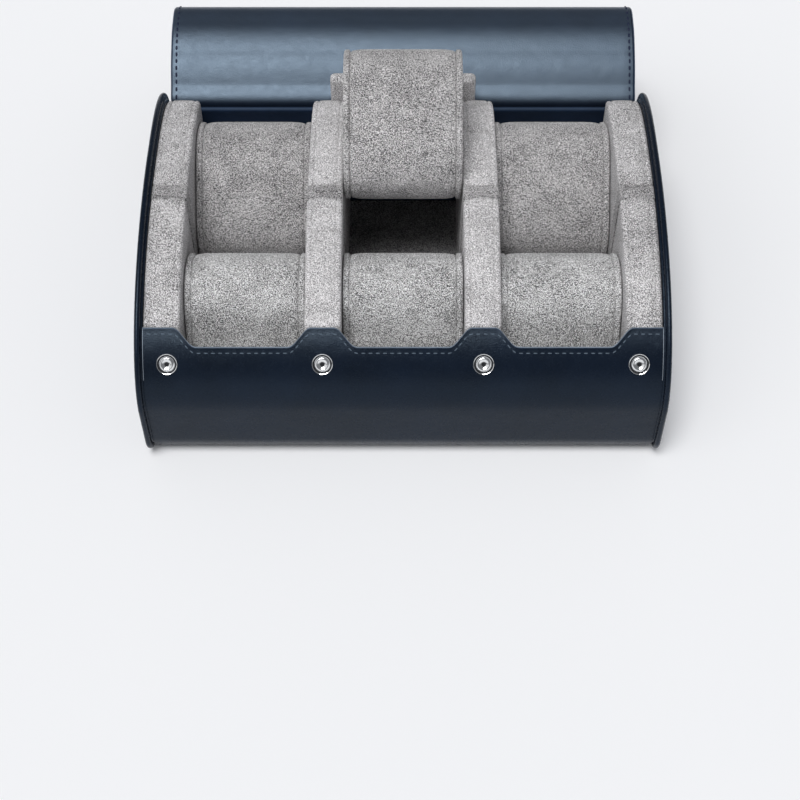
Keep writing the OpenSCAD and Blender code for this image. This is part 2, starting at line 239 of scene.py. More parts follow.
def rotation(a):
    """The 2 by 2 matrix that turns (y, z) by the angle a."""
    return np.array([[math.cos(a), -math.sin(a)], [math.sin(a), math.cos(a)]])


def soft_edge(r, steps):
    """A quarter circle of radius r: how far each step lies in from the side, 0 to r, and how
    far it still lies under the face, r to 0."""
    phi = np.radians(np.linspace(0, 90, steps))
    return r * (1 - np.cos(phi)), r * (1 - np.sin(phi))


def arch(a, b, up, steps):
    """A half ellipse from a to b that rises by the vector up, without its two ends."""
    phi = np.radians(np.linspace(0, 180, steps)[1:-1])[:, None]
    return (a + b) / 2 - (b - a) / 2 * np.cos(phi) + up * np.sin(phi)


# ---------------------------------------------------------------- meshes

class Mesh:
    """Collects lofts of rings and writes them into one closed mesh."""

    def __init__(self):
        self.points, self.faces, self.paint, self.count = [], [], [], 0

    def loft(self, rings, ends=("pairs", "pairs"), paint=0):
        """Joins closed rings (rows, points, 3) by quads. An end is closed by quads between
        opposite points of its ring (pairs), by a fan round its middle (fan), or left open.
        paint is a material number, or one for each quad as (rows - 1, points)."""
        rows, n = rings.shape[:2]
        at = self.count + np.arange(rows * n).reshape(rows, n)
        nxt = np.roll(at, -1, axis=1)
        quads = np.stack([at[:-1], nxt[:-1], nxt[1:], at[1:]], -1).reshape(-1, 4)
        self.points.append(rings.reshape(-1, 3))
        self.faces += quads.tolist()
        marks = np.broadcast_to(np.asarray(paint), (rows - 1, n))
        self.paint += marks.reshape(-1).tolist()
        self.count += rows * n
        for end, row in zip(ends, (0, -1)):
            ring, mark, middle = at[row], marks[row], rings[row].mean(0)
            if end == "pairs":
                j = np.arange(n // 2 - 1)
                caps = np.stack([ring[j], ring[j + 1], ring[n - 2 - j], ring[n - 1 - j]], -1)
                self.faces += caps.tolist()
                self.paint += [int(mark[0])] * len(caps)
            elif end == "fan":
                self.points.append(middle[None])
                k = np.arange(n)
                caps = np.stack([ring[k], ring[(k + 1) % n], np.full(n, self.count)], -1)
                self.faces += caps.tolist()
                self.paint += [int(mark[0])] * n
                self.count += 1
        return self

    def object(self, name, materials, body=None, slot=None, sharp=50.0):
        """Writes the mesh with its materials, faces outwards and soft edges under sharp degrees."""
        data = bpy.data.meshes.new(name)
        data.from_pydata(np.concatenate(self.points).tolist(), [], self.faces)
        for m in materials:
            data.materials.append(m)
        data.polygons.foreach_set("material_index", np.array(self.paint, np.int32))
        outwards(data)
        data.polygons.foreach_set("use_smooth", np.ones(len(data.polygons), bool))
        if sharp:
            data.set_sharp_from_angle(angle=math.radians(sharp))
        data.update()
        piece = bpy.data.objects.new(name, data)
        bpy.context.scene.collection.objects.link(piece)
        if body:
            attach(piece, body)
        return piece


def outwards(data):
    """Turns every face of each closed shell of a mesh outwards."""
    bm = bmesh.new()
    bm.from_mesh(data)
    bmesh.ops.recalc_face_normals(bm, faces=bm.faces)
    bm.to_mesh(data)
    bm.free()


def settled(o):
    """The mesh of an object with its modifiers applied."""
    dg = bpy.context.evaluated_depsgraph_get()
    dg.update()
    return bpy.data.meshes.new_from_object(o.evaluated_get(dg))


def read(data, key):
    """The points ("co") or normals ("normal") of a mesh's vertices as an array."""
    values = np.zeros(len(data.vertices) * 3, np.float32)
    data.vertices.foreach_get(key, values)
    return values.reshape(-1, 3).astype(float)


def write(data, points):
    """Moves a mesh's vertices to the given points."""
    data.vertices.foreach_set("co", points.astype(np.float32).ravel())
    data.update()


def rows3(x, yz):
    """Rings in space from x for each row and (y, z) for each point of a row."""
    x = np.broadcast_to(np.asarray(x, float).reshape(-1, 1), yz.shape[:2])
    return np.concatenate([x[..., None], yz], -1)


def rounded_rect(hx, hy, r, steps=6):
    """A rounded rectangle as a closed ring (points, 2): four quarter circles of radius r."""
    a = np.linspace(0, 90, steps)
    out = []
    for k, (sx, sy) in enumerate(((1, 1), (-1, 1), (-1, -1), (1, -1))):
        t = np.radians(a + 90 * k)
        out.append(np.stack([sx * (hx - r) + r * np.cos(t), sy * (hy - r) + r * np.sin(t)], -1))
    return np.concatenate(out)


def padded_board(mesh, x0, x1, y0, y1, z0, z1, r=0.0024):
    """A board with soft edges: rounded rectangles stacked in z, drawn in by a quarter circle of
    radius r at its foot and head."""
    drawn, under = soft_edge(r, 7)
    z = np.concatenate([z0 + under[::-1], np.linspace(z0 + r, z1 - r, 14)[1:-1], z1 - under])
    d = np.concatenate([drawn[::-1], np.zeros(12), drawn])
    half = np.array([x1 - x0, y1 - y0]) / 2
    share = (half - d[:, None]) / half
    ring = rounded_rect(*half, r) * share[:, None] + ((x0 + x1) / 2, (y0 + y1) / 2)
    height = np.broadcast_to(z[:, None, None], (*ring.shape[:2], 1))
    return mesh.loft(np.concatenate([ring, height], -1), ("fan", "fan"))


def stitches(mesh, path, normal, pitch=0.0037, long=0.0028, wide=0.0010, high=0.0007, paint=0):
    """A row of thread stitches along a path: each one a spindle, thick in its middle as
    the root of 1 - u squared, whose ends dive into the leather."""
    run = lengths(path)
    n = max(1, int(run[-1] / pitch))
    at = (np.arange(n) + 0.5) * run[-1] / n
    near = 2e-4
    t = unit(along(path, run, at + near) - along(path, run, at - near))
    up = unit(along(normal, run, at))
    # along the spindle, and how fat it is there; the ends sink by half its height
    u = np.array([[-1], [-0.72], [0], [0.72], [1.0]])
    fat = np.array([[0.25], [0.8], [1.0], [0.8], [0.25]])
    phi = np.radians(np.arange(6) * 60.0)
    parts = ((t, u * long / 2 + 0 * phi),
             (unit(np.cross(t, up)), fat * np.cos(phi) * wide / 2),
             (up, fat * np.sin(phi) * high / 2 - u ** 4 * high * 0.5 + high * 0.18))
    ring = sum(way[:, None, None] * far[None, :, :, None] for way, far in parts)
    for spindle in along(path, run, at)[:, None, None] + ring:
        mesh.loft(spindle, ("pairs", "pairs"), paint)


# ---------------------------------------------------------------- finishes

class Finish:
    """A material with its nodes, joined by short calls."""

    def __init__(self, name):
        self.material = bpy.data.materials.new(name)
        self.material.use_nodes = True
        self.tree = self.material.node_tree
        self.shader = self.tree.nodes["Principled BSDF"]
        self.place = self.tree.nodes.new("ShaderNodeTexCoord")

    def node(self, kind, **values):
        """A new node with its settings and sockets filled in."""
        n = self.tree.nodes.new(kind)
        for key, value in values.items():
            if hasattr(n, key) and key not in n.inputs:
                setattr(n, key, value)
            else:
                self.put(n, key, value)
        return n

    def put(self, n, key, value):
        """Links a socket to another node's, or gives it a plain value."""
        socket = n.inputs[key]
        if isinstance(value, bpy.types.NodeSocket):
            self.tree.links.new(value, socket)
        else:
            socket.default_value = value

    def noise(self, scale, detail=4.0, rough=0.55, stretch=None, distort=0.0):
        """Cloudy noise in the piece's own coordinates, in cells per metre."""
        where = self.place.outputs["Object"]
        if stretch:
            m = self.node("ShaderNodeMapping", Scale=stretch)
            self.put(m, "Vector", where)
            where = m.outputs["Vector"]
        n = self.node("ShaderNodeTexNoise", Scale=scale, Detail=detail, Roughness=rough,
                      Distortion=distort)
        self.put(n, "Vector", where)
        return n.outputs["Fac"]

    def cells(self, scale, wobble):
        """Distance to the nearest crease of an uneven net, whose lines noise moves by wobble."""
        where = self.place.outputs["Object"]
        net = self.node("ShaderNodeTexVoronoi", Scale=scale, Randomness=1.0)
        net.feature = "DISTANCE_TO_EDGE"
        bend = self.node("ShaderNodeTexNoise", Scale=scale * 0.7, Detail=2.0)
        self.put(bend, "Vector", where)
        add = self.node("ShaderNodeVectorMath", operation="MULTIPLY_ADD")
        for key, value in ((0, bend.outputs["Color"]), (1, (wobble,) * 3), (2, where)):
            self.put(add, key, value)
        self.put(net, "Vector", add.outputs["Vector"])
        return net.outputs["Distance"]

    def ramp(self, fac, low, high, at=(0.3, 0.7)):
        """A colour that runs from low to high between the two places at."""
        n = self.node("ShaderNodeValToRGB")
        for stop, place, c in zip(n.color_ramp.elements, at, (low, high)):
            stop.position, stop.color = place, (*c, 1)
        self.put(n, "Fac", fac)
        return n.outputs["Color"]

    def span(self, fac, low, high, at=(0.0, 1.0)):
        """A number that runs from low to high between the two places at."""
        n = self.node("ShaderNodeMapRange")
        self.put(n, "Value", fac)
        for key, v in zip(("From Min", "From Max", "To Min", "To Max"), (*at, low, high)):
            self.put(n, key, v)
        return n.outputs["Result"]

    def sum(self, a, b, share):
        """a plus a share of b."""
        n = self.node("ShaderNodeMath", operation="MULTIPLY_ADD")
        for key, value in enumerate((b, share, a)):
            self.put(n, key, value)
        return n.outputs["Value"]

    def relief(self, height, depth, strength, under=None):
        """A raised surface, depth metres deep, over another one where it is given."""
        n = self.node("ShaderNodeBump", Strength=strength, Distance=depth)
        self.put(n, "Height", height)
        if under is not None:
            self.put(n, "Normal", under)
        return n.outputs["Normal"]

    def set(self, **values):
        """Fills the shader's sockets, named with _ for each space."""
        for key, value in values.items():
            self.put(self.shader, key.replace("_", " "), value)


def shade(c, k):
    """A colour made lighter or darker by the factor k."""
    return tuple(min(1.0, x * k) for x in c)


def leather_finish(name, base, gloss=0.25, shine=0.29, ior=1.5):
    """Smooth dyed leather: fine cells with creases between them, pores, and soft tone changes.
    gloss is its roughness, and shine and ior say how much it reflects."""
    f = Finish(name)
    tone = f.noise(38.0, 3.0)
    f.set(Base_Color=f.ramp(tone, shade(base, 0.80), shade(base, 1.25)))
    f.set(Roughness=f.span(f.noise(210.0, 4.0), gloss - 0.05, gloss + 0.08))
    grain = f.cells(1150.0, wobble=0.0005)
    pores = f.noise(2600.0, 2.0)
    soft = f.noise(95.0, 3.0)
    crease = f.span(grain, 0.0, 1.0, (0.0, 0.25))
    skin = f.relief(f.sum(crease, pores, 0.5), 0.00006, 0.45)
    f.set(Normal=f.relief(soft, 0.0006, 0.28, skin))
    f.set(Specular_IOR_Level=shine, IOR=ior, Specular_Tint=(0.62, 0.80, 1.0, 1.0))
    return f.material


def suede_finish(name, base, nap=1.0, depth=1.0):
    """Brushed suede: short fibres as light and dark flecks, mottled nap, and a soft sheen. nap is
    how far the flecks part in tone, and depth how far they stand up."""
    f = Finish(name)
    brushed = f.noise(55.0, 4.0, 0.6, stretch=(1.0, 1.2, 1.0), distort=0.5)
    fleck = f.noise(2250.0, 2.0, 0.6)
    both = f.sum(fleck, brushed, 0.13)
    low, high = shade(base, max(0.03, 1 - 0.88 * nap)), shade(base, 1 + 1.30 * nap)
    f.set(Base_Color=f.ramp(both, low, high, (0.49, 0.65)))
    f.set(Roughness=f.span(fleck, 0.88, 1.0))
    f.set(Normal=f.relief(f.sum(fleck, brushed, 0.3), 0.00050 * depth, 0.8))
    f.set(Specular_IOR_Level=0.15, Sheen_Weight=0.20, Sheen_Roughness=0.5,
          Sheen_Tint=(1.0, 1.0, 1.0, 1.0))
    return f.material


def thread_finish(name, base):
    """Waxed twisted thread."""
    f = Finish(name)
    strand = f.noise(1900.0, 2.0)
    f.set(Base_Color=f.ramp(strand, shade(base, 0.7), shade(base, 1.5)))
    f.set(Normal=f.relief(strand, 0.0001, 0.6), Roughness=0.55, Specular_IOR_Level=0.35)
    return f.material


def board_finish(name, base):
    """Pressed grey board with flecks of fibre."""
    f = Finish(name)
    fleck = f.noise(700.0, 5.0, 0.7, stretch=(0.4, 1.0, 1.0))
    f.set(Base_Color=f.ramp(fleck, shade(base, 0.8), shade(base, 1.2)))
    f.set(Normal=f.relief(fleck, 0.0001, 0.5), Roughness=0.9)
    return f.material


def chrome_finish(name, base):
    """Polished plated metal with a faint haze and hairline wear."""
    f = Finish(name)
    haze = f.noise(420.0, 4.0)
    f.set(Base_Color=f.ramp(haze, shade(base, 0.94), shade(base, 1.04)))
    f.set(Roughness=f.span(haze, 0.07, 0.16), Metallic=1.0)
    return f.material


def painted_shade_metal_finish(name):
    """The inside of a snap: dull plated steel, coloured dark as painted shade."""
    f = Finish(name)
    wear = f.noise(900.0, 3.0)
    f.set(Base_Color=f.ramp(wear, (0.012, 0.013, 0.015), (0.03, 0.032, 0.036)))
    f.set(Roughness=f.span(wear, 0.35, 0.55), Metallic=0.7)
    return f.material


FINISHES = {}


def finishes():
    """All the finishes of the case, made once."""
    if not FINISHES:
        c = bpy.context.scene.case_colours
        FINISHES.update(
            leather=leather_finish("navy_leather", c.navy),
            leather_in=leather_finish("navy_leather_lining", shade(c.navy, 1.6), 0.40, 1.0, 1.6),
            leather_matt=leather_finish("navy_leather_matt", shade(c.navy, 3.5), 0.55, 0.4),
            leather_end=leather_finish("navy_leather_end", shade(c.navy, 3.0), 0.45, 0.10),
            # lighter navy on the leather's edges: edge paint, and in part a painted highlight
            edge=leather_finish("navy_edge_paint_and_highlight", shade(c.navy, 4.0), 0.30, 0.5),
            # a pale line on the front wall's lip and ends: a painted highlight
            edge_pale=leather_finish("painted_highlight_edge", (0.24, 0.27, 0.31), 0.30, 0.5),
            suede=suede_finish("grey_suede", c.suede),
            divider=suede_finish("grey_suede_divider", shade(c.suede, 1.18), 0.75),
            nap=suede_finish("grey_suede_crossways", shade(c.suede, 0.66), 1.1),
            # a darker copy of the suede for the slots' floor: painted shade in the recess
            floor=suede_finish("grey_suede_floor_painted_shade", shade(c.suede, 0.60)),
            pillow=suede_finish("grey_pillow_suede", c.pillow, 1.14, 1.3),
            # a darker copy of the pillow suede for the back row: painted shade
            pillow_low=suede_finish("grey_pillow_suede_painted_shade", shade(c.pillow, 0.80), 1.16, 1.3),
            thread=thread_finish("navy_thread", c.thread),
            pale_thread=thread_finish("slate_thread", (0.085, 0.115, 0.150)),
            board=board_finish("stiff_board", c.board),
            chrome=chrome_finish("chrome", c.chrome),
            dark=painted_shade_metal_finish("snap_inside_painted_shade"),
        )
    return FINISHES


def carry(node, material):
    """Gives a node that keeps its own shape a material."""
    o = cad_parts[node]
    o.data.materials.clear()
    o.data.materials.append(material)


# ---------------------------------------------------------------- the lid's run

LAST = 8                # number of the lid's stretches, and of the piece at its front edge
WALL_UNDER = 0.009      # length of back wall that belongs to the lid's first piece
BEND_REACH = 0.016      # how far a bend may reach from its line
RING_STEP = 0.0025      # distance of the rings on a straight stretch, at most
BEND_STEP = 0.0007      # the same in a bend
HANDLE = 0.68           # length of the cubic's handles, as a share of the reach
LIP_R = 0.0013          # rounding of the lid's front edge
STITCH_IN = 0.0034      # distance of the stitches from the lid's edge


class LidRun:
    """The lid's outer line: closed it follows the outline, and at rest each stretch is turned
    about its hinge lines, with a cubic curve through each bend."""

    def __init__(self, g):
        self.g = g
        stops = [(0, a) for a in BACK_STOPS] + [(1, a) for a in FRONT_STOPS]
        at = [self.closed(0.0, s) for s in stops]
        chord = np.diff(np.array(at), axis=0)
        reach = np.linalg.norm(chord, axis=1)
        heading = np.degrees(np.arctan2(chord[:, 1], chord[:, 0]))
        heading = np.where(heading < -90, heading + 360, heading)
        top = at[0][1] + sum(c * math.sin(math.radians(a)) for c, a in zip(reach, RISE))
        # the fifth and sixth stretch fall so steeply that the tail begins at its height
        fall = math.degrees(math.asin(
            (top - TAIL_Z + reach[6] * math.sin(math.radians(TAIL[0]))) / (reach[4] + reach[5])))
        open_heading = np.array([*RISE, -fall, -fall, *TAIL])
        swing = open_heading - heading
        self.bend = np.concatenate([[swing[0]], np.diff(swing)])
        self.axle = [self.closed(g.lid if b > 0 else 0.0, s) for b, s in zip(self.bend, stops)]
        turn, shift = np.eye(2), np.zeros(2)
        self.hang = []
        for k in range(LAST):
            r = rotation(math.radians(self.bend[k]))
            shift = turn @ (self.axle[k] - r @ self.axle[k]) + shift
            turn = turn @ r
            self.hang.append((turn, shift))
        self.table(stops)

    def closed(self, inset, stop):
        """The point of the closed outline at a stop: (0, angle) behind or (1, angle) in front."""
        part, a = stop
        return (back_point if part == 0 else front_point)(self.g, inset, a)

    def table(self, stops):
        """Arc length along the closed outside, from the back wall to the front edge."""
        g = self.g
        wall = pairs(g.half_depth, np.linspace(g.back_z - 0.02, g.back_z, 60)[:-1])
        bow = back_point(g, 0.0, np.linspace(90 ** 0.5, 0, 900) ** 2)
        lead = front_point(g, 0.0, np.linspace(0, FRONT_STOPS[3], 1500)[1:])
        self.line = np.concatenate([wall, bow, lead])
        s = lengths(self.line)
        marks = []
        for stop in stops:
            p = self.closed(0.0, stop)
            marks.append(s[np.argmin(np.linalg.norm(self.line - p, axis=1))])
        self.s = s - marks[0]
        self.marks = np.array(marks) - marks[0]
        self.front = self.marks[LAST]

    def closed_at(self, s):
        """Point and heading of the closed outside at arc length s."""
        near = 1e-4
        p, q, o = (along(self.line, self.s, s + d) for d in (0, near, -near))
        return p, unit(q - o)

    def rigid_at(self, s, k):
        """The same point carried by stretch k, where -1 is the back wall."""
        p, t = self.closed_at(s)
        if k < 0:
            return p, t
        turn, shift = self.hang[k]
        return p @ turn.T + shift, t @ turn.T

    def windows(self):
        """Where the pieces part, and how far each bend reaches before and after its line: at
        most BEND_REACH, and less by the tangent of half its angle where pieces are short."""
        m = self.marks
        part = [-WALL_UNDER] + [(m[k] + m[k + 1]) / 2 for k in range(LAST)] + [self.front]
        reach = []
        for k in range(LAST):
            spare = 0.0003 + 0.003 * abs(math.tan(math.radians(self.bend[k]) / 2))
            reach.append((min(m[k] - part[k] - spare, BEND_REACH),
                          min(part[k + 1] - m[k] - spare, BEND_REACH)))
        return part, reach

    def thickness(self, s):
        """The lid is leather and lining, and the back wall leather alone: the lining grows in
        over 5 mm, from 4 mm under the hinge line."""
        t = np.clip((s + 0.004) / 0.005, 0, 1)
        t = t * t * (3 - 2 * t)
        return self.g.leather + (self.g.lid - self.g.leather) * t

    def piece(self, k):
        """Arc lengths, points and headings of piece k, and the two ends of its bend."""
        part, reach = self.windows()
        a, b = part[k], part[k + 1]
        if k == LAST:
            s = np.linspace(a, b, 16)
            p, t = self.rigid_at(s, LAST - 1)
            return s, p, t, None
        m, (wa, wb) = self.marks[k], reach[k]
        before = np.linspace(a, m - wa, max(3, int((m - wa - a) / RING_STEP) + 2))
        after = np.linspace(m + wb, b, max(3, int((b - m - wb) / RING_STEP) + 2))
        p0, t0 = self.rigid_at(before, k - 1)
        p3, t3 = self.rigid_at(after, k)
        u = np.linspace(0, 1, max(12, int((wa + wb) / BEND_STEP)))[1:-1, None]
        c0, c3 = p0[-1], p3[0]
        c1, c2 = c0 + t0[-1] * wa * HANDLE, c3 - t3[0] * wb * HANDLE
        v = 1 - u
        mid = v ** 3 * c0 + 3 * v * v * u * c1 + 3 * v * u * u * c2 + u ** 3 * c3
        tan = unit(3 * v * v * (c1 - c0) + 6 * v * u * (c2 - c1) + 3 * u * u * (c3 - c2))
        s = np.concatenate([before, (m - wa + u[:, 0] * (wa + wb)), after])
        return s, np.concatenate([p0, mid, p3]), np.concatenate([t0, tan, t3]), (c0, c3)

    def inward(self, t):
        """The normal towards the lid's lining, a quarter turn to the left of its heading."""
        return np.stack([-t[:, 1], t[:, 0]], -1)


def lid_edge(g, run, s):
    """Half width at arc length s: full, and a quarter circle round the front corners."""
    e = np.clip(run.front - s, 0, g.lid_corner)
    return g.lid_half - g.lid_corner + np.sqrt(g.lid_corner ** 2 - (g.lid_corner - e) ** 2)


def lid_rings(g, run, s, p, t):
    """Rings across the lid for each arc length: outside, a round side edge, lining, the other
    edge. At the front the thickness closes as a quarter circle."""
    inward = run.inward(t)
    thick = run.thickness(s)
    e = run.front - s
    lip = np.sqrt(np.clip(1 - (1 - np.clip(e / LIP_R, 0, 1)) ** 2, 0.02, 1))
    half = lid_edge(g, run, s)
    flat = np.linspace(-1, 1, 41)
    phi = np.radians(np.linspace(90, 0, 6)[1:])
    r = thick / 2 * lip
    n_edge = len(phi)
    # from the middle of the left edge, over the outside, to the middle of the right edge
    xs = np.concatenate([-np.cos(phi[::-1]), np.zeros(len(flat)), np.cos(phi)])
    lift = np.concatenate([np.sin(phi[::-1]), np.ones(len(flat)), np.sin(phi)])
    base = np.concatenate([-np.ones(n_edge), flat, np.ones(n_edge)])
    x = base[None] * (half - r)[:, None] + xs[None] * r[:, None]
    depth_out = thick[:, None] / 2 - lift[None] * r[:, None]
    depth_in = thick[:, None] / 2 + lift[None] * r[:, None]
    x = np.concatenate([x, x[:, ::-1]], 1)
    depth = np.concatenate([depth_out, depth_in[:, ::-1]], 1)
    yz = p[:, None] + inward[:, None] * depth[..., None]
    return np.concatenate([x[..., None], yz], -1), len(flat) + 2 * n_edge


def lid_paint(run, s, n_half):
    """Material numbers: 0 leather outside, 1 leather lining near the hinge, 2 suede lining at
    the free end and 4 the lighter edge, edge paint that also serves as a painted highlight.
    3 is the thread."""
    j = np.arange(2 * n_half)
    inside = (j > n_half + 4) & (j < 2 * n_half - 5)
    late = (s[:-1] + s[1:])[:, None] / 2 > run.marks[4]
    edge = ((j < 4) | (j > 2 * n_half - 6)) | ((j > n_half - 6) & (j < n_half + 4))
    return np.where(inside[None], np.where(late, 2, 1), np.where(edge[None], 4, 0))


# ---------------------------------------------------------------- operators

class CASE_OT_lid(bpy.types.Operator):
    """Make the flap lid: leather outside, lining inside, stitched edges, with a curve through each
    bend line
    """
    bl_idname = "case.lid"
    bl_label = "Flap lid"

    def execute(self, context):
        g, f = context.scene.case_sizes, finishes()
        run = LidRun(g)
        for k in range(LAST + 1):
            s, p, t, ends = run.piece(k)
            if k == LAST:
                tail = run.front - soft_edge(g.lid_corner, 14)[0]
                lip = run.front - soft_edge(LIP_R, 6)[1]
                s = np.unique(np.round(np.concatenate([s, tail, lip]), 7))
                p, t = run.rigid_at(s, LAST - 1)
            rings, n_half = lid_rings(g, run, s, p, t)
            mesh = Mesh()
            mesh.loft(rings, ("pairs", "pairs"), lid_paint(run, s, n_half))
            self.sew(mesh, g, run, s, p, t, k)
            name = "lid_front_edge" if k == LAST else "lid_bend_%d" % (k + 1)
            finish = [f[key] for key in ("leather", "leather_in", "suede", "thread", "edge")]
            piece = mesh.object(name, finish, slot="navy_leather", sharp=60)
            if k == LAST:
                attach(piece, "lid_%d" % LAST)
                continue
            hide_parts("lid_leather_%d" % (k + 1), "lid_lining_%d" % (k + 1))
            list(ends[0])
            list(ends[1])
            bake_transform(piece)
        return {"FINISHED"}

    def sew(self, mesh, g, run, s, p, t, k):
        """Rows of stitches near the side edges and, on the last piece, round the corners."""
        keep = s > 0.0005 if k == 0 else s < run.front - g.lid_corner
        if keep.sum() > 1:
            inside = 0.0008 if k < 6 else 0.0005
            for side in (-1, 1):
                x = np.full(keep.sum(), side * (g.lid_half - STITCH_IN))
                self.row(mesh, x, p[keep], run.inward(t[keep]), run.thickness(s[keep]),
                         0.0012, 0.0008, inside)
        if k == LAST:
            a = np.radians(np.linspace(0, 90, 24))
            r = g.lid_corner - STITCH_IN
            cx, cs = g.lid_half - g.lid_corner, run.front - g.lid_corner
            left = np.stack([-(cx + r * np.cos(a)), cs + r * np.sin(a)], -1)
            right = left[::-1] * (-1, 1)
            bar = pairs(np.linspace(-cx, cx, 60)[1:-1], cs + r)
            x, run_out = np.concatenate([left, bar, right]).T
            q, u = run.rigid_at(run_out, LAST - 1)
            self.row(mesh, x, q, run.inward(u), g.lid, 0.0010, 0.0007, 0.0005)

    def row(self, mesh, x, p, inward, thick, wide, high, inside):
        """One row of stitches on the leather, high, and the same on the lining, inside high."""
        up = np.column_stack([np.zeros(len(x)), -inward])
        lining = p + inward * np.reshape(thick, (-1, 1))
        stitches(mesh, np.column_stack([x, p]), up, wide=wide, high=high, paint=3)
        stitches(mesh, np.column_stack([x, lining]), -up, wide=wide, high=inside, paint=3)


class CASE_OT_shell(bpy.types.Operator):
    """Make the leather wrap: front wall with its tabs and dips, base and back wall"""
    bl_idname = "case.shell"
    bl_label = "Leather wrap"

    def execute(self, context):
        g, f = context.scene.case_sizes, finishes()
        run = LidRun(g)
        near = g.inner_x - np.array([0.0003, 0.0008])
        xs = np.unique(np.round(np.concatenate([
            np.linspace(-g.inner_x, g.inner_x, 200), -near, near]), 6))
        top = self.top_edge(g, xs)
        rings = np.array([self.section(g, run, z) for z in top])
        # a lighter edge over the lip: edge paint that also serves as a painted highlight; along the
        # lip's middle and on the ends where the wall meets the panels, a pale painted highlight
        n = rings.shape[1]
        lip = n // 2 - 5
        paint = np.zeros((len(rings) - 1, n), int)
        paint[:, lip + 1:lip + 8] = 2
        paint[:, lip + 2:lip + 7] = 3
        paint[[0, -1], lip - 14:lip + 1] = 3
        mesh = Mesh().loft(rows3(xs, rings), ("pairs", "pairs"), paint)
        self.sew(mesh, g, xs, top)
        finish = [f[key] for key in ("leather", "pale_thread", "edge", "edge_pale")]
        piece = mesh.object("leather_wrap_sewn", finish, "case", "navy_leather", sharp=60)
        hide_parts("leather_wrap")
        # the floor lining takes the darker suede copy, which is painted shade
        for node, key in (("base_board", "board"), ("front_board", "board"),
                          ("back_board", "board"), ("floor_lining", "floor")):
            carry(node, f[key])
        self.line_back(g, f)
        return {"FINISHED"}

    def line_back(self, g, f):
        """The back wall's lining: up the board, over its top as a hook, and down inside."""
        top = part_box("back_board")[1].z
        foot = math.degrees(math.asin((g.back_r - g.floor_z) / (g.back_r - g.leather)))
        board = g.leather + BOARD_T
        high = math.degrees(math.acos(((top - g.back_z) / (g.height - g.back_z - board)) ** 1.5))

        def rise(inset):
            """The lining's line from the base up the wall at one inset."""
            return np.concatenate([
                back_low(g, inset, g.leather, np.linspace(foot, 0, 7)),
                pairs(g.half_depth - inset, np.linspace(g.back_r, g.back_z, 10)[1:-1]),
                back_point(g, inset, np.linspace(90, high, 5))])
        face, under = rise(board + 0.0010), rise(board + 0.00005)
        outer = back_point(g, g.leather + 0.0003, high)
        over = top + 0.00006
        hook = np.array([outer, (outer[0], over), (under[-1, 0], over)])
        bow = arch(face[-1], outer, np.array([0.0, 0.0012]), 12)
        ring = np.concatenate([face, bow, hook, under[::-1]])
        half = g.inner_x - CLOSE
        mesh = Mesh().loft(rows3(np.linspace(-half, half, 30), np.repeat(ring[None], 30, 0)),
                           ("fan", "fan"))
        piece = mesh.object("back_lining_hooked", [f["leather_matt"]], "case",
                            "navy_leather_lining", sharp=50)
        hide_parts("back_lining")

    def top_edge(self, g, x):
        """Height of the front wall's edge: low in a dip before each slot, high at the tabs,
        joined by straight slopes whose corners are averaged over 4 mm."""
        low, high = front_point(g, g.wall_in, np.array([DIP_ANGLE, TAB_ANGLE]))[:, 1]
        pitch = g.slot_w + g.divider_w
        d = np.min(np.abs(x[:, None] - np.array([-pitch, 0, pitch])), 1)
        soft = np.linspace(-0.0019, 0.0019, 9)[:, None]
        t = np.clip((d + soft - g.dip_low / 2) / ((g.dip_top - g.dip_low) / 2), 0, 1).mean(0)
        return low + (high - low) * t

    def section(self, g, run, top):
        """One closed section: the outside from the back wall's top round the base to the front
        edge, a half circle over the edge, and back along the inside."""
        back = run.closed_at(np.linspace(-WALL_UNDER, -WALL_UNDER - 0.005, 4))[0]
        wall = pairs(g.half_depth, np.linspace(back[-1, 1], g.back_r, 9)[1:])
        rise = 90 + (front_angle(g, g.wall_in, top) - 90) * np.linspace(0, 1, 26) ** 0.9

        def face(depth):
            """The section's line at a depth under the leather's outside."""
            front = g.wall_in + depth
            base = np.linspace(g.half_depth - g.back_r, g.front_r - g.half_depth, 12)[1:-1]
            return np.concatenate([
                back - (depth, 0), wall - (depth, 0),
                back_low(g, depth, depth, np.linspace(0, 90, 14))[1:],
                pairs(base, depth),
                front_low(g, front, depth, np.linspace(90, 0, 16)),
                pairs(front - g.half_depth, np.linspace(g.front_r, g.front_z, 4)[1:-1]),
                front_point(g, front, rise)])
        outer, inner = face(0.0), face(g.leather)
        r = (inner[-1] - outer[-1]) / 2
        up = np.array([-r[1], r[0]])
        up *= np.sign(up @ (outer[-1] - outer[-2]))
        # the lip's top point stands twice, so that the ring has an even number of points
        lip = arch(outer[-1], inner[-1], up, 9)
        return np.concatenate([outer, lip[:4], lip[3:], inner[::-1]])

    def sew(self, mesh, g, xs, top):
        """A row of stitches under the front edge."""
        # 3.3 mm along the front, whose radius is about 115 mm there
        a = front_angle(g, g.wall_in, top) + np.degrees(0.0033 / 0.115)
        p, q = front_point(g, g.wall_in, a), front_point(g, g.wall_in, a + 0.3)
        t = unit(q - p)
        n = np.stack([t[:, 1], -t[:, 0]], -1)
        n = np.where(n[:, :1] > 0, -n, n)
        stitches(mesh, np.column_stack([xs, p])[3:-3], np.column_stack([np.zeros(len(n)), n])[3:-3],
                 long=0.0023, wide=0.0006, high=0.0005, paint=1)


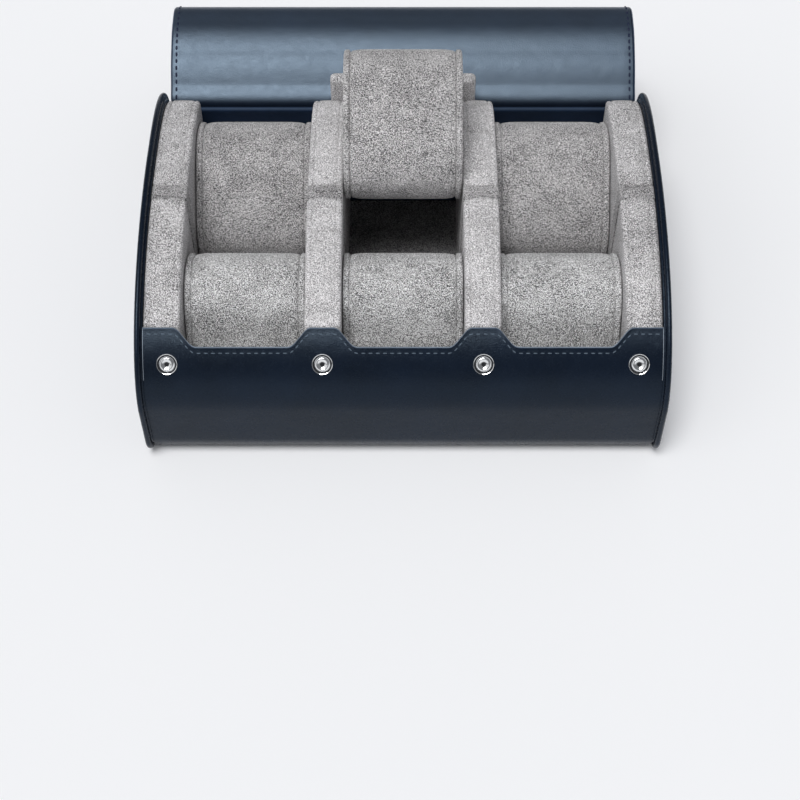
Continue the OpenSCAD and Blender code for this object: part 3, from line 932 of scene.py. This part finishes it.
class CASE_OT_ends(bpy.types.Operator):
    """Make the two end panels with their turned rims and stitching"""
    bl_idname = "case.ends"
    bl_label = "End panels"

    def execute(self, context):
        g, f = context.scene.case_sizes, finishes()
        for side, name in ((-1, "left"), (1, "right")):
            w, r = g.half_width, 0.0015
            phi = np.radians(np.linspace(90, -90, 13))
            rim = [(w - r + r * math.sin(a), r - r * math.cos(a)) for a in phi]
            # x and inset of each row: the field, the groove of the stitches, the rim, the inside
            rows = ([(w, 0.0075), (w, 0.0058), (w, 0.0050), (w - 0.0001, 0.0046),
                     (w - 0.0003, 0.0042), (w - 0.0001, 0.0037), (w, 0.0032), (w, 0.0022)]
                    + rim
                    + [(w - 0.0030, 0.0026), (w - 0.0030, 0.0033), (w - 0.0032, 0.00345),
                       (w - 0.0037, 0.00345), (w - 0.0040, 0.0037), (w - 0.0040, 0.0060)])
            x, d = np.array(rows).T
            loops = outline(g, d, np.minimum(d, 0.009))
            middle = loops[0].mean(0)
            core = np.array([0.06, 0.35, 0.65, 0.88])
            inner = middle + (loops[:1] - middle) * core[:, None, None]
            x = np.concatenate([w + 0.0004 * (1 - core ** 2), x])
            loops = np.concatenate([inner, loops])
            last = middle + (loops[-1:] - middle) * np.array([0.8, 0.4, 0.1])[:, None, None]
            loops = np.concatenate([loops, last])
            x = np.concatenate([x, np.full(3, w - 0.0040)])
            # matter leather on the field and in the groove, as far as the groove's outer side
            paint = np.where(np.arange(len(x) - 1) < len(core) + 6, 2, 0)[:, None]
            mesh = Mesh().loft(rows3(side * x, loops), ("fan", "fan"), paint)
            seam = outline(g, np.array([0.0042]), np.array([0.0042]))[0]
            seam = np.concatenate([seam, seam[:1]])
            path = np.concatenate([np.full((len(seam), 1), side * (w - 0.0002)), seam], 1)
            n = np.broadcast_to((float(side), 0.0, 0.0), path.shape)
            stitches(mesh, path, n, paint=1)
            finish = [f["leather"], f["thread"], f["leather_end"]]
            piece = mesh.object(name + "_end_panel", finish, "case", "navy_leather", sharp=60)
            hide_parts(name + "_end_leather", name + "_end_board", name + "_end_lining")
        return {"FINISHED"}


def edge_rows(x0, x1, r, crown):
    """x and inset of the rows across a block: a quarter circle of radius r at each side, a
    faint crown, and a seam pressed in beside each edge as a narrow bell curve."""
    seam = 0.0031
    near = seam + np.array([-0.0007, -0.0003, 0.0, 0.0003, 0.0008])
    way = np.concatenate([soft_edge(r, 7)[0], near])
    x = np.concatenate([x0 + way, np.linspace(x0 + near[-1], x1 - near[-1], 9)[1:-1],
                        (x1 - way)[::-1]])
    side = np.minimum(x - x0, x1 - x)
    d = np.where(side < r, r - np.sqrt(np.clip(r * r - (r - side) ** 2, 0, None)), 0.0)
    t = (x - (x0 + x1) / 2) / ((x1 - x0) / 2)
    return x, d + crown * t * t + 0.00060 * np.exp(-((side - seam) / 0.00034) ** 2)


def front_block_ring(g, d):
    """Section of a front block drawn in by d: back face, top, the front wall's inside, floor."""
    wall = g.wall_in + g.leather + 1.5 * CLOSE + d
    board = wall + BOARD_T
    foot = math.degrees(math.asin((g.front_r - g.floor_z - d) / (g.front_r - g.leather)))
    y1 = g.partition_y - d
    y0 = front_point(g, g.block_inset + d, TAB_ANGLE - 0.5)[0]
    ys = np.linspace(y1, y0, 34)
    top = pairs(ys, top_height(g, g.block_inset + d, ys))
    back = pairs(y1, np.linspace(g.floor_z + d, top[0, 1], 8)[:-1])
    behind = front_point(g, wall, np.linspace(TAB_ANGLE, DIP_ANGLE, 4))
    front = front_point(g, board, np.linspace(DIP_ANGLE, 90, 14))
    low = front_low(g, board, g.leather, np.linspace(0, foot, 10))
    base = pairs(np.linspace(low[-1, 0], y1, 12)[1:-1], g.floor_z + d)
    return np.concatenate([back, top, behind, front, low, base])


def rear_block_ring(g, d):
    """Section of a rear block drawn in by d: back face, top, front face and floor."""
    y0, y1 = g.partition_y + g.partition_t + d, g.rear_end - d
    ys = np.linspace(y1, y0, 40)
    top = pairs(ys, top_height(g, g.block_inset + d, ys))
    back = pairs(y1, np.linspace(g.floor_z + d, top[0, 1], 10)[:-1])
    front = pairs(y0, np.linspace(top[-1, 1], g.floor_z + d, 10)[1:])
    base = pairs(np.linspace(y0, y1, 14)[1:-1], g.floor_z + d)
    return np.concatenate([back, top, front, base])


class CASE_OT_blocks(bpy.types.Operator):
    """Make the suede end pads and dividers in front of and behind the cross partition"""
    bl_idname = "case.blocks"
    bl_label = "Pads and dividers"

    def execute(self, context):
        g, f = context.scene.case_sizes, finishes()
        pad = 1.5 * g.slot_w + g.divider_w
        spans = {"left_end_pad": (-g.inner_x, -pad), "right_end_pad": (pad, g.inner_x),
                 "left_divider": (-g.slot_w / 2 - g.divider_w, -g.slot_w / 2),
                 "right_divider": (g.slot_w / 2, g.slot_w / 2 + g.divider_w)}
        for name, (x0, x1) in spans.items():
            for row, ring in (("front", front_block_ring), ("rear", rear_block_ring)):
                x, d = edge_rows(x0 + CLOSE, x1 - CLOSE, 0.0020, 0.0005)
                loops = np.array([ring(g, v) for v in d])
                tone = f["divider" if "divider" in name else "suede"]
                piece = Mesh().loft(rows3(x, loops), ("fan", "fan")).object(
                    "%s_%s_suede" % (name, row), [tone], "case", "grey_suede", sharp=0)
                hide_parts("%s_%s" % (name, row))
        return {"FINISHED"}


class CASE_OT_partition(bpy.types.Operator):
    """Make the cross partition, high between the blocks and low in the slots"""
    bl_idname = "case.partition"
    bl_label = "Cross partition"

    def execute(self, context):
        g, f = context.scene.case_sizes, finishes()
        half, pitch = g.slot_w / 2, g.slot_w + g.divider_w
        end = g.inner_x - 2 * CLOSE
        edges = [-end, -pitch - half, -pitch + half, -half, half, pitch - half, pitch + half, end]
        r = 0.0014
        way, drop = soft_edge(r, 6)
        at, loops = [], []
        for k, (x0, x1) in enumerate(zip(edges, edges[1:])):
            tall = k % 2 == 0
            if tall:
                xs = np.concatenate([x0 + way, [(x0 + x1) / 2], (x1 - way)[::-1]])
                ds = np.concatenate([drop, [0], drop[::-1]])
            else:
                xs, ds = np.linspace(x0, x1, 6), np.zeros(6)
            at += list(xs)
            loops += [self.ring(g, d, tall, r) for d in ds]
        piece = Mesh().loft(rows3(at, np.array(loops)), ("fan", "fan")).object(
            "cross_partition_suede", [f["nap"]], "case", "grey_suede", sharp=60)
        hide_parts("cross_partition")
        return {"FINISHED"}

    def ring(self, g, d, tall, r):
        """A section of the partition: straight faces and a head rounded by r."""
        y0, y1 = g.partition_y + 2 * CLOSE, g.partition_y + g.partition_t - 2 * CLOSE
        phi = np.radians(np.linspace(0, 180, 13))
        ys = (y0 + y1) / 2 + ((y1 - y0) / 2 - r) * np.sign(np.cos(phi)) + r * np.cos(phi)
        top = top_height(g, g.block_inset, ys) if tall else np.full(13, g.partition_low)
        zs = top - d - r + r * np.sin(phi)
        rise = g.floor_z + CLOSE + (zs[[0, -1], None] - g.floor_z) * np.linspace(0, 0.96, 6)
        return np.concatenate([pairs(y1, rise[0]), pairs(ys, zs), pairs(y0, rise[1, ::-1])])


VOXEL = 0.0042          # cell of the cover's even skin
FRAMES = 20             # steps of the cloth simulation
SWELL = 0.006           # furthest that a point of the cover may move
NEARBY = 0.005          # width of the bell curve that smooths the cover
MEAN_R = 0.034          # mean radius of a section, which turns an angle into a way
WITHIN = 0.88           # share of the pillow's width over which the cover is read
END_LEAN = 0.6          # a point whose normal leans further along x belongs to an end
CLOTH = dict(quality=8, mass=0.25, use_pressure=True, uniform_pressure_force=4.0,
             tension_stiffness=25, compression_stiffness=25, shear_stiffness=12,
             bending_stiffness=1.5)


class CASE_OT_pillows(bpy.types.Operator):
    """Make the six watch pillows: a stuffed cover from a cloth simulation, with a disc sewn in
    at each end"""
    bl_idname = "case.pillows"
    bl_label = "Watch pillows"

    def execute(self, context):
        g, q, f = context.scene.case_sizes, context.scene.pillow_sizes, finishes()
        pitch = g.slot_w + g.divider_w
        # full is how much further out the back row's section stands
        for row, tilt, face, z, full in (("front", q.front_tilt, q.front_face, q.front_z, 0.0),
                                         ("back", q.back_tilt, q.back_face, q.back_z, 0.0011)):
            ring = self.drawn_in(self.section(q, tilt, face, z), [-full], face)[0]
            cover = self.cover(q, ring, face)
            cover = self.stuff(cover, face)
            bulge = self.bulge(q, cover, ring)
            for place, x in (("left", -pitch), ("middle", 0.0), ("right", pitch)):
                lift = q.raised if (row, place) == ("back", "middle") else 0.0
                name = "%s_%s_pillow" % (row, place)
                # the back row takes the darker copy of the pillow suede, as painted shade
                piece = self.finish(q, bulge, ring, face, name, x, lift,
                                    f["pillow" if row == "front" else "pillow_low"])
                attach(piece, "%s_%s_pillow_set" % (row, place))
                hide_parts(name)
            bpy.data.meshes.remove(cover)
        return {"FINISHED"}

    def section(self, q, tilt, face, z):
        """An oval, two half circles joined by straight lines, leaning by tilt against the
        backrest, as (y, z) points round it."""
        c = np.array([face + q.sink - q.run * math.cos(tilt) - q.round_r, z])
        a = np.radians(np.linspace(-90, 90, 52))
        cap = np.stack([np.cos(a), np.sin(a)], -1)
        right = q.run * np.array([1, 0]) + cap * q.round_r
        left = -right
        line = np.linspace(0, 1, 14)[1:-1, None]
        return np.concatenate([right, right[-1] + (left[0] - right[-1]) * line,
                               left, left[-1] + (right[0] - left[-1]) * line]
                              ) @ rotation(tilt).T + c

    def drawn_in(self, ring, inset, face):
        """The section moved towards its middle by each inset, and flat at the backrest."""
        middle = ring.mean(0)
        size = np.linalg.norm(ring - middle, axis=1, keepdims=True)
        loops = np.array([middle + (ring - middle) * (1 - v / size) for v in inset])
        loops[..., 0] = np.minimum(loops[..., 0], face - 2 * CLOSE)
        return loops

    def cover(self, q, ring, face):
        """The cover between the two seams, slightly slack, with its ends drawn in."""
        half, r = q.half_w - q.seam_in, 0.0020
        way, drop = soft_edge(r, 6)
        x = np.concatenate([-half + way, np.linspace(-half + r, half - r, 24)[1:-1],
                            (half - way)[::-1]])
        d = np.concatenate([drop, np.zeros(22), drop[::-1]])
        o = Mesh().loft(rows3(x, self.drawn_in(ring, d - 0.0001, face)), ("fan", "fan")).object(
            "pillow_cover", [], sharp=0)
        data = o.data
        bpy.data.objects.remove(o)
        return data

    def discs(self, q, ring, face, mesh):
        """The stiff disc at each end: the full section with a soft edge, 3 mm thick."""
        h = q.half_w
        rows = np.array([(h - 0.0052, 0.0040), (h - 0.0034, 0.0018), (h - 0.0031, 0.0008),
                         (h - 0.0028, 0.0004), (h - 0.0022, 0.0002), (h - 0.0010, 0.0002),
                         (h - 0.0005, 0.0005), (h - 0.0001, 0.0010), (h, 0.0018), (h, 0.0100)])
        loops = self.drawn_in(ring, rows[:, 1], face)
        for side in (-1, 1):
            mesh.loft(rows3(side * rows[:, 0], loops), ("fan", "fan"))

    def stuff(self, data, face):
        """Fills the cover: an even skin of small cells swells under pressure, and no point
        moves further than a cap."""
        scene = bpy.context.scene
        o = bpy.data.objects.new("stuffing", data)
        scene.collection.objects.link(o)
        bpy.context.view_layer.objects.active = o
        skin = o.modifiers.new("skin", "REMESH")
        skin.mode, skin.voxel_size = "VOXEL", VOXEL
        even = settled(o)
        rest = read(even, "co")
        o.modifiers.clear()
        o.data = even
        cloth = o.modifiers.new("cloth", "CLOTH")
        for key, value in CLOTH.items():
            setattr(cloth.settings, key, value)
        cloth.settings.effector_weights.gravity = 0.0
        cloth.collision_settings.use_collision = False
        cloth.point_cache.frame_start, cloth.point_cache.frame_end = 1, FRAMES
        for n in range(1, FRAMES + 1):
            scene.frame_set(n)
        swollen = settled(o)
        moved = read(swollen, "co") - rest
        far = np.linalg.norm(moved, axis=1, keepdims=True)
        p = rest + moved * np.minimum(1, SWELL / np.maximum(far, 1e-9))
        p[:, 1] = np.minimum(p[:, 1], face - 2 * CLOSE)
        o.modifiers.clear()
        write(swollen, p)
        o.data = swollen
        scene.frame_set(1)
        bpy.data.objects.remove(o)
        bpy.data.meshes.remove(even)
        return swollen

    def bulge(self, q, cover, ring):
        """How far the filled cover stands off the plain section, as (row along x, point round
        the ring): the mean over nearby points of the cover, weighted by a bell curve."""
        o = bpy.data.objects.new("cover", cover)
        bpy.context.scene.collection.objects.link(o)
        fine = o.modifiers.new("fine", "SUBSURF")
        fine.levels = fine.render_levels = 1
        made = settled(o)
        bpy.data.objects.remove(o)
        p = read(made, "co")[np.abs(read(made, "normal")[:, 0]) < END_LEAN]
        bpy.data.meshes.remove(made)
        middle = ring.mean(0)
        sides = (np.roll(ring, -1, 0) - ring)[:, None]
        dense = (ring[:, None] + sides * np.linspace(0, 1, 6)[:-1, None]).reshape(-1, 2) - middle
        turn, size = np.arctan2(dense[:, 1], dense[:, 0]), np.linalg.norm(dense, axis=1)
        order = np.argsort(turn)
        at = p[:, 1:] - middle
        angle = np.arctan2(at[:, 1], at[:, 0])
        plain = np.interp(angle, turn[order], size[order], period=2 * np.pi)
        off = np.linalg.norm(at, axis=1) - plain
        own = ring - middle
        goal = np.arctan2(own[:, 1], own[:, 0])
        x = self.rows(q)[0] * WITHIN
        across = np.exp(-((x[:, None] - p[:, 0]) / NEARBY) ** 2)
        gap = (goal[:, None] - angle + np.pi) % (2 * np.pi) - np.pi
        about = np.exp(-(gap * MEAN_R / NEARBY) ** 2)
        return (across @ (about * off).T) / (across @ about.T)

    def rows(self, q):
        """Rows along the cover and how far each is drawn in: tight at the two seams."""
        half = q.half_w - q.seam_in
        t = np.array([0.0, 0.0, 0.00025, 0.0006, 0.0011, 0.0018, 0.0028, 0.0040, 0.0055])
        d = np.array([0.0100, 0.0022, 0.0013, 0.0008, 0.00052, 0.00036, 0.00022, 0.0001, 0.0])
        middle = np.linspace(-half + t[-1], half - t[-1], 30)[1:-1]
        return (np.concatenate([-half + t, middle, (half - t)[::-1]]),
                np.concatenate([d, np.zeros(28), d[::-1]]))

    def finish(self, q, bulge, ring, face, name, x, lift, material):
        """The filled cover, square at its two seams, and the two discs; then placed."""
        at, inset = self.rows(q)
        middle = ring.mean(0)
        size = np.linalg.norm(ring - middle, axis=1)
        scale = 1 + (bulge - inset[:, None]) / size
        loops = middle + (ring - middle) * scale[..., None]
        loops[..., 0] = np.minimum(loops[..., 0], face - 2 * CLOSE)
        mesh = Mesh().loft(rows3(at, loops), ("fan", "fan"))
        self.discs(q, ring, face, mesh)
        piece = mesh.object(name, [material], sharp=0)
        write(piece.data, read(piece.data, "co") + (x, 0, lift))
        return piece


class CASE_OT_backrests(bpy.types.Operator):
    """Make the suede backrests, with wings on the back row"""
    bl_idname = "case.backrests"
    bl_label = "Backrests"

    def execute(self, context):
        f = finishes()
        for row in ("front", "back"):
            for place in ("left", "middle", "right"):
                node = "%s_%s_backrest" % (row, place)
                lo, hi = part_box(node)
                mesh = Mesh()
                if row == "front":
                    padded_board(mesh, lo.x, hi.x, lo.y, hi.y, lo.z, hi.z)
                else:
                    # a board as wide as the pillow, whose back end lies inside the winged one
                    half, wing = context.scene.pillow_sizes.half_w, 0.007
                    mid = (lo.x + hi.x) / 2
                    padded_board(mesh, mid - half, mid + half, lo.y, hi.y - wing / 2,
                                 lo.z + 2 * CLOSE, hi.z - 2 * CLOSE)
                    padded_board(mesh, lo.x, hi.x, hi.y - wing, hi.y, lo.z, hi.z)
                piece = mesh.object(node + "_suede", [f["suede"]],
                                    node.replace("backrest", "pillow_set"),
                                    "grey_pillow_suede", sharp=0)
                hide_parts(node)
        return {"FINISHED"}


SNAP_IN = 0.0125        # distance of the outer snaps from the ends' lining
WASHER_UNDER = 0.0023   # depth of the washers under the front wall's leather
SNAP_SIDES = 56         # sides of a turned snap
# the stud's seam and well are coloured dark as painted shade
PAINTED_SHADE_BANDS = (8, 9, 17, 18, 19)     # bands of a stud's profile that are its seam and its well


class CASE_OT_snaps(bpy.types.Operator):
    """Make the chrome snaps: caps and sockets in the lid, studs and washers in the front wall"""
    bl_idname = "case.snaps"
    bl_label = "Snaps"

    def execute(self, context):
        g, f = context.scene.case_sizes, finishes()
        run = LidRun(g)
        a = math.radians(SNAP_ANGLE)
        tilt = math.atan2(math.sin(a) / (g.half_depth + g.crown_y),
                          math.cos(a) / (g.height - g.front_z))
        step = math.cos(a - tilt)
        out = np.array([-math.sin(tilt), math.cos(tilt)])
        foot = front_point(g, 0.0, SNAP_ANGLE)
        pitch = (g.slot_w + g.divider_w) / 2
        outer = g.inner_x - SNAP_IN
        xs = (-outer, -pitch, pitch, outer)
        # profiles as (radius, height), in metres
        cap = [(0.0050, -0.0010), (0.0054, 0.0), (0.0056, 0.0002), (0.0056, 0.00045),
               (0.0054, 0.0006)]
        dome = [(0.0053 * math.cos(t), 0.0006 + 0.0016 * math.sin(t) ** 0.9)
                for t in np.radians(np.linspace(8, 88, 12)[1:])]
        stud = [(0.0019, -0.0030), (0.0019, -0.0008), (0.0051, -0.0008), (0.0055, -0.0004),
                (0.0056, 0.0001), (0.00555, 0.0004), (0.0053, 0.0007), (0.0050, 0.0006),
                (0.00485, 0.00015)]
        well = [(0.0047, 0.00012), (0.0041, 0.00012), (0.0038, 0.0004), (0.0034, 0.00075),
                (0.0029, 0.0009), (0.0025, 0.0008), (0.0019, 0.00045), (0.0015, 0.00035),
                (0.0012, 0.0003), (0.00115, 0.00012), (0.0006, 0.0001), (0.0001, 0.0001)]
        socket = [(0.0036, 0.0), (0.0056, 0.0), (0.0056, -0.0008), (0.0052, -0.0011),
                  (0.0042, -0.0011), (0.0037, -0.0008)]
        washer = [(0.0022, 0.0), (0.0048, 0.0), (0.0048, -0.0009), (0.0022, -0.0009)]
        disc, tube = ("fan", "fan"), ("none", "none")
        under = g.wall_in + g.leather + WASHER_UNDER
        pieces = {
            "snap_caps": (cap + dome, disc, 0.0, True),
            "snap_studs": (stud + well, disc, g.wall_in, False),
            "snap_sockets": (socket + socket[:1], tube, g.leather, True),
            "snap_washers": (washer + washer[:1], tube, under, False),
        }
        turn, shift = run.hang[LAST - 1]
        for node, (profile, ends, inset, on_lid) in pieces.items():
            at, axis = foot - out * inset * step, out
            if on_lid:
                at, axis = turn @ at + shift, turn @ axis
            lean = np.array([[1, 0, 0], [0, axis[1], axis[0]], [0, -axis[0], axis[1]]])
            mesh = Mesh()
            for x in xs:
                self.turned(mesh, profile, (x, *at), lean, ends, node == "snap_studs")
            # studs take the dark metal in their seam and well: painted shade
            finish = [f["chrome"], f["dark"]] if node == "snap_studs" else [f["chrome"]]
            piece = mesh.object(node + "_turned", finish, "lid_8" if on_lid else "case",
                                "chrome", sharp=40)
            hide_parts(node)
        return {"FINISHED"}

    def turned(self, mesh, profile, place, lean, ends, dark):
        """A profile turned round the snap's axis: radius times cosine and sine of each angle,
        and the height. The seam and the well of a stud are coloured dark as painted shade."""
        a = np.linspace(0, 2 * np.pi, SNAP_SIDES, endpoint=False)
        r, h = np.array(profile).T[..., None]
        ring = np.stack(np.broadcast_arrays(r * np.cos(a), r * np.sin(a), h), -1)
        inside = np.isin(np.arange(len(r) - 1), PAINTED_SHADE_BANDS) & dark
        mesh.loft(ring @ lean.T + np.array(place), ends, inside.astype(int)[:, None])


class CASE_OT_stage(bpy.types.Operator):
    """Make the floor, the lights and the camera"""
    bl_idname = "case.stage"
    bl_label = "Stage"

    def execute(self, context):
        scene = context.scene
        f = Finish("pale_floor")
        f.set(Base_Color=(*scene.case_colours.floor, 1), Specular_IOR_Level=0.1,
              Roughness=f.span(f.noise(60.0, 2.0), 0.88, 0.96))
        data = bpy.data.meshes.new("floor")
        wide, z = 40, -0.0003
        corners = [(-wide, -wide, z), (wide, -wide, z), (wide, wide, z), (-wide, wide, z)]
        data.from_pydata(corners, [], [(0, 1, 2, 3)])
        data.materials.append(f.material)
        floor = bpy.data.objects.new("floor", data)
        scene.collection.objects.link(floor)
        self.sky(scene)
        self.sun("key", (-0.14, -0.28, 0.95), 30, 2.05)
        self.sun("fill", (-0.50, -0.45, 0.75), 50, 0.35)

        cam = bpy.data.cameras.new("camera")
        cam.sensor_width = 36.0
        cam.lens = 67.5
        cam.shift_x, cam.shift_y = -0.00375, 0.0
        cam.clip_start, cam.clip_end = 0.01, 20
        down = 52.76        # degrees under the level
        o = bpy.data.objects.new("camera", cam)
        scene.collection.objects.link(o)
        o.location = (0.0, -0.56612, 0.66689)
        o.rotation_euler = (math.radians(90 - down), 0, 0)
        scene.camera = o
        scene.view_settings.view_transform = "Standard"
        return {"FINISHED"}

    def sky(self, scene):
        """A studio that is pale round the horizon and dimmer overhead."""
        world = bpy.data.worlds.new("studio")
        world.use_nodes = True
        tree = world.node_tree
        where = tree.nodes.new("ShaderNodeTexCoord")
        split = tree.nodes.new("ShaderNodeSeparateXYZ")
        tree.links.new(where.outputs["Generated"], split.inputs["Vector"])
        ramp = tree.nodes.new("ShaderNodeValToRGB")
        low, high = ramp.color_ramp.elements
        low.position, low.color = 0.16, (0.90, 0.91, 0.93, 1)
        high.position, high.color = 0.36, (0.20, 0.205, 0.215, 1)
        tree.links.new(split.outputs["Z"], ramp.inputs["Fac"])
        tree.links.new(ramp.outputs["Color"], tree.nodes["Background"].inputs["Color"])
        tree.nodes["Background"].inputs["Strength"].default_value = 1.0
        scene.world = world

    def sun(self, name, towards, disc, strength):
        """A soft round lamp far away, disc degrees across, seen in the direction towards."""
        light = bpy.data.lights.new(name, "SUN")
        light.angle, light.energy = math.radians(disc), strength
        o = bpy.data.objects.new(name, light)
        bpy.context.scene.collection.objects.link(o)
        o.rotation_euler = Vector(towards).to_track_quat("Z", "Y").to_euler()


class CASE_PT_panel(bpy.types.Panel):
    """Lists the steps of the watch case"""
    bl_label = "Watch case"
    bl_idname = "CASE_PT_panel"
    bl_space_type = "VIEW_3D"
    bl_region_type = "UI"
    bl_category = "Watch case"

    def draw(self, context):
        column = self.layout.column()
        for name in STEPS:
            column.operator("case." + name)
        for group in (context.scene.case_sizes, context.scene.pillow_sizes,
                      context.scene.case_colours):
            box = self.layout.box()
            for key in group.bl_rna.properties.keys():
                if key not in ("rna_type", "name"):
                    box.prop(group, key)


STEPS = ("shell", "ends", "lid", "blocks", "partition", "pillows", "backrests", "snaps", "stage")
GROUPS = (("case_sizes", CaseSizes), ("pillow_sizes", PillowSizes), ("case_colours", CaseColours))
CLASSES = (CaseSizes, PillowSizes, CaseColours, CASE_OT_lid, CASE_OT_shell, CASE_OT_ends,
           CASE_OT_blocks, CASE_OT_partition, CASE_OT_pillows, CASE_OT_backrests,
           CASE_OT_snaps, CASE_OT_stage, CASE_PT_panel)


def register():
    for c in CLASSES:
        bpy.utils.register_class(c)
    for name, group in GROUPS:
        setattr(bpy.types.Scene, name, bpy.props.PointerProperty(type=group))


def unregister():
    for name, _ in GROUPS:
        delattr(bpy.types.Scene, name)
    for c in reversed(CLASSES):
        bpy.utils.unregister_class(c)


def main():
    register()
    for step in STEPS:
        getattr(bpy.ops.case, step)()


if __name__ == "__main__":
    main()
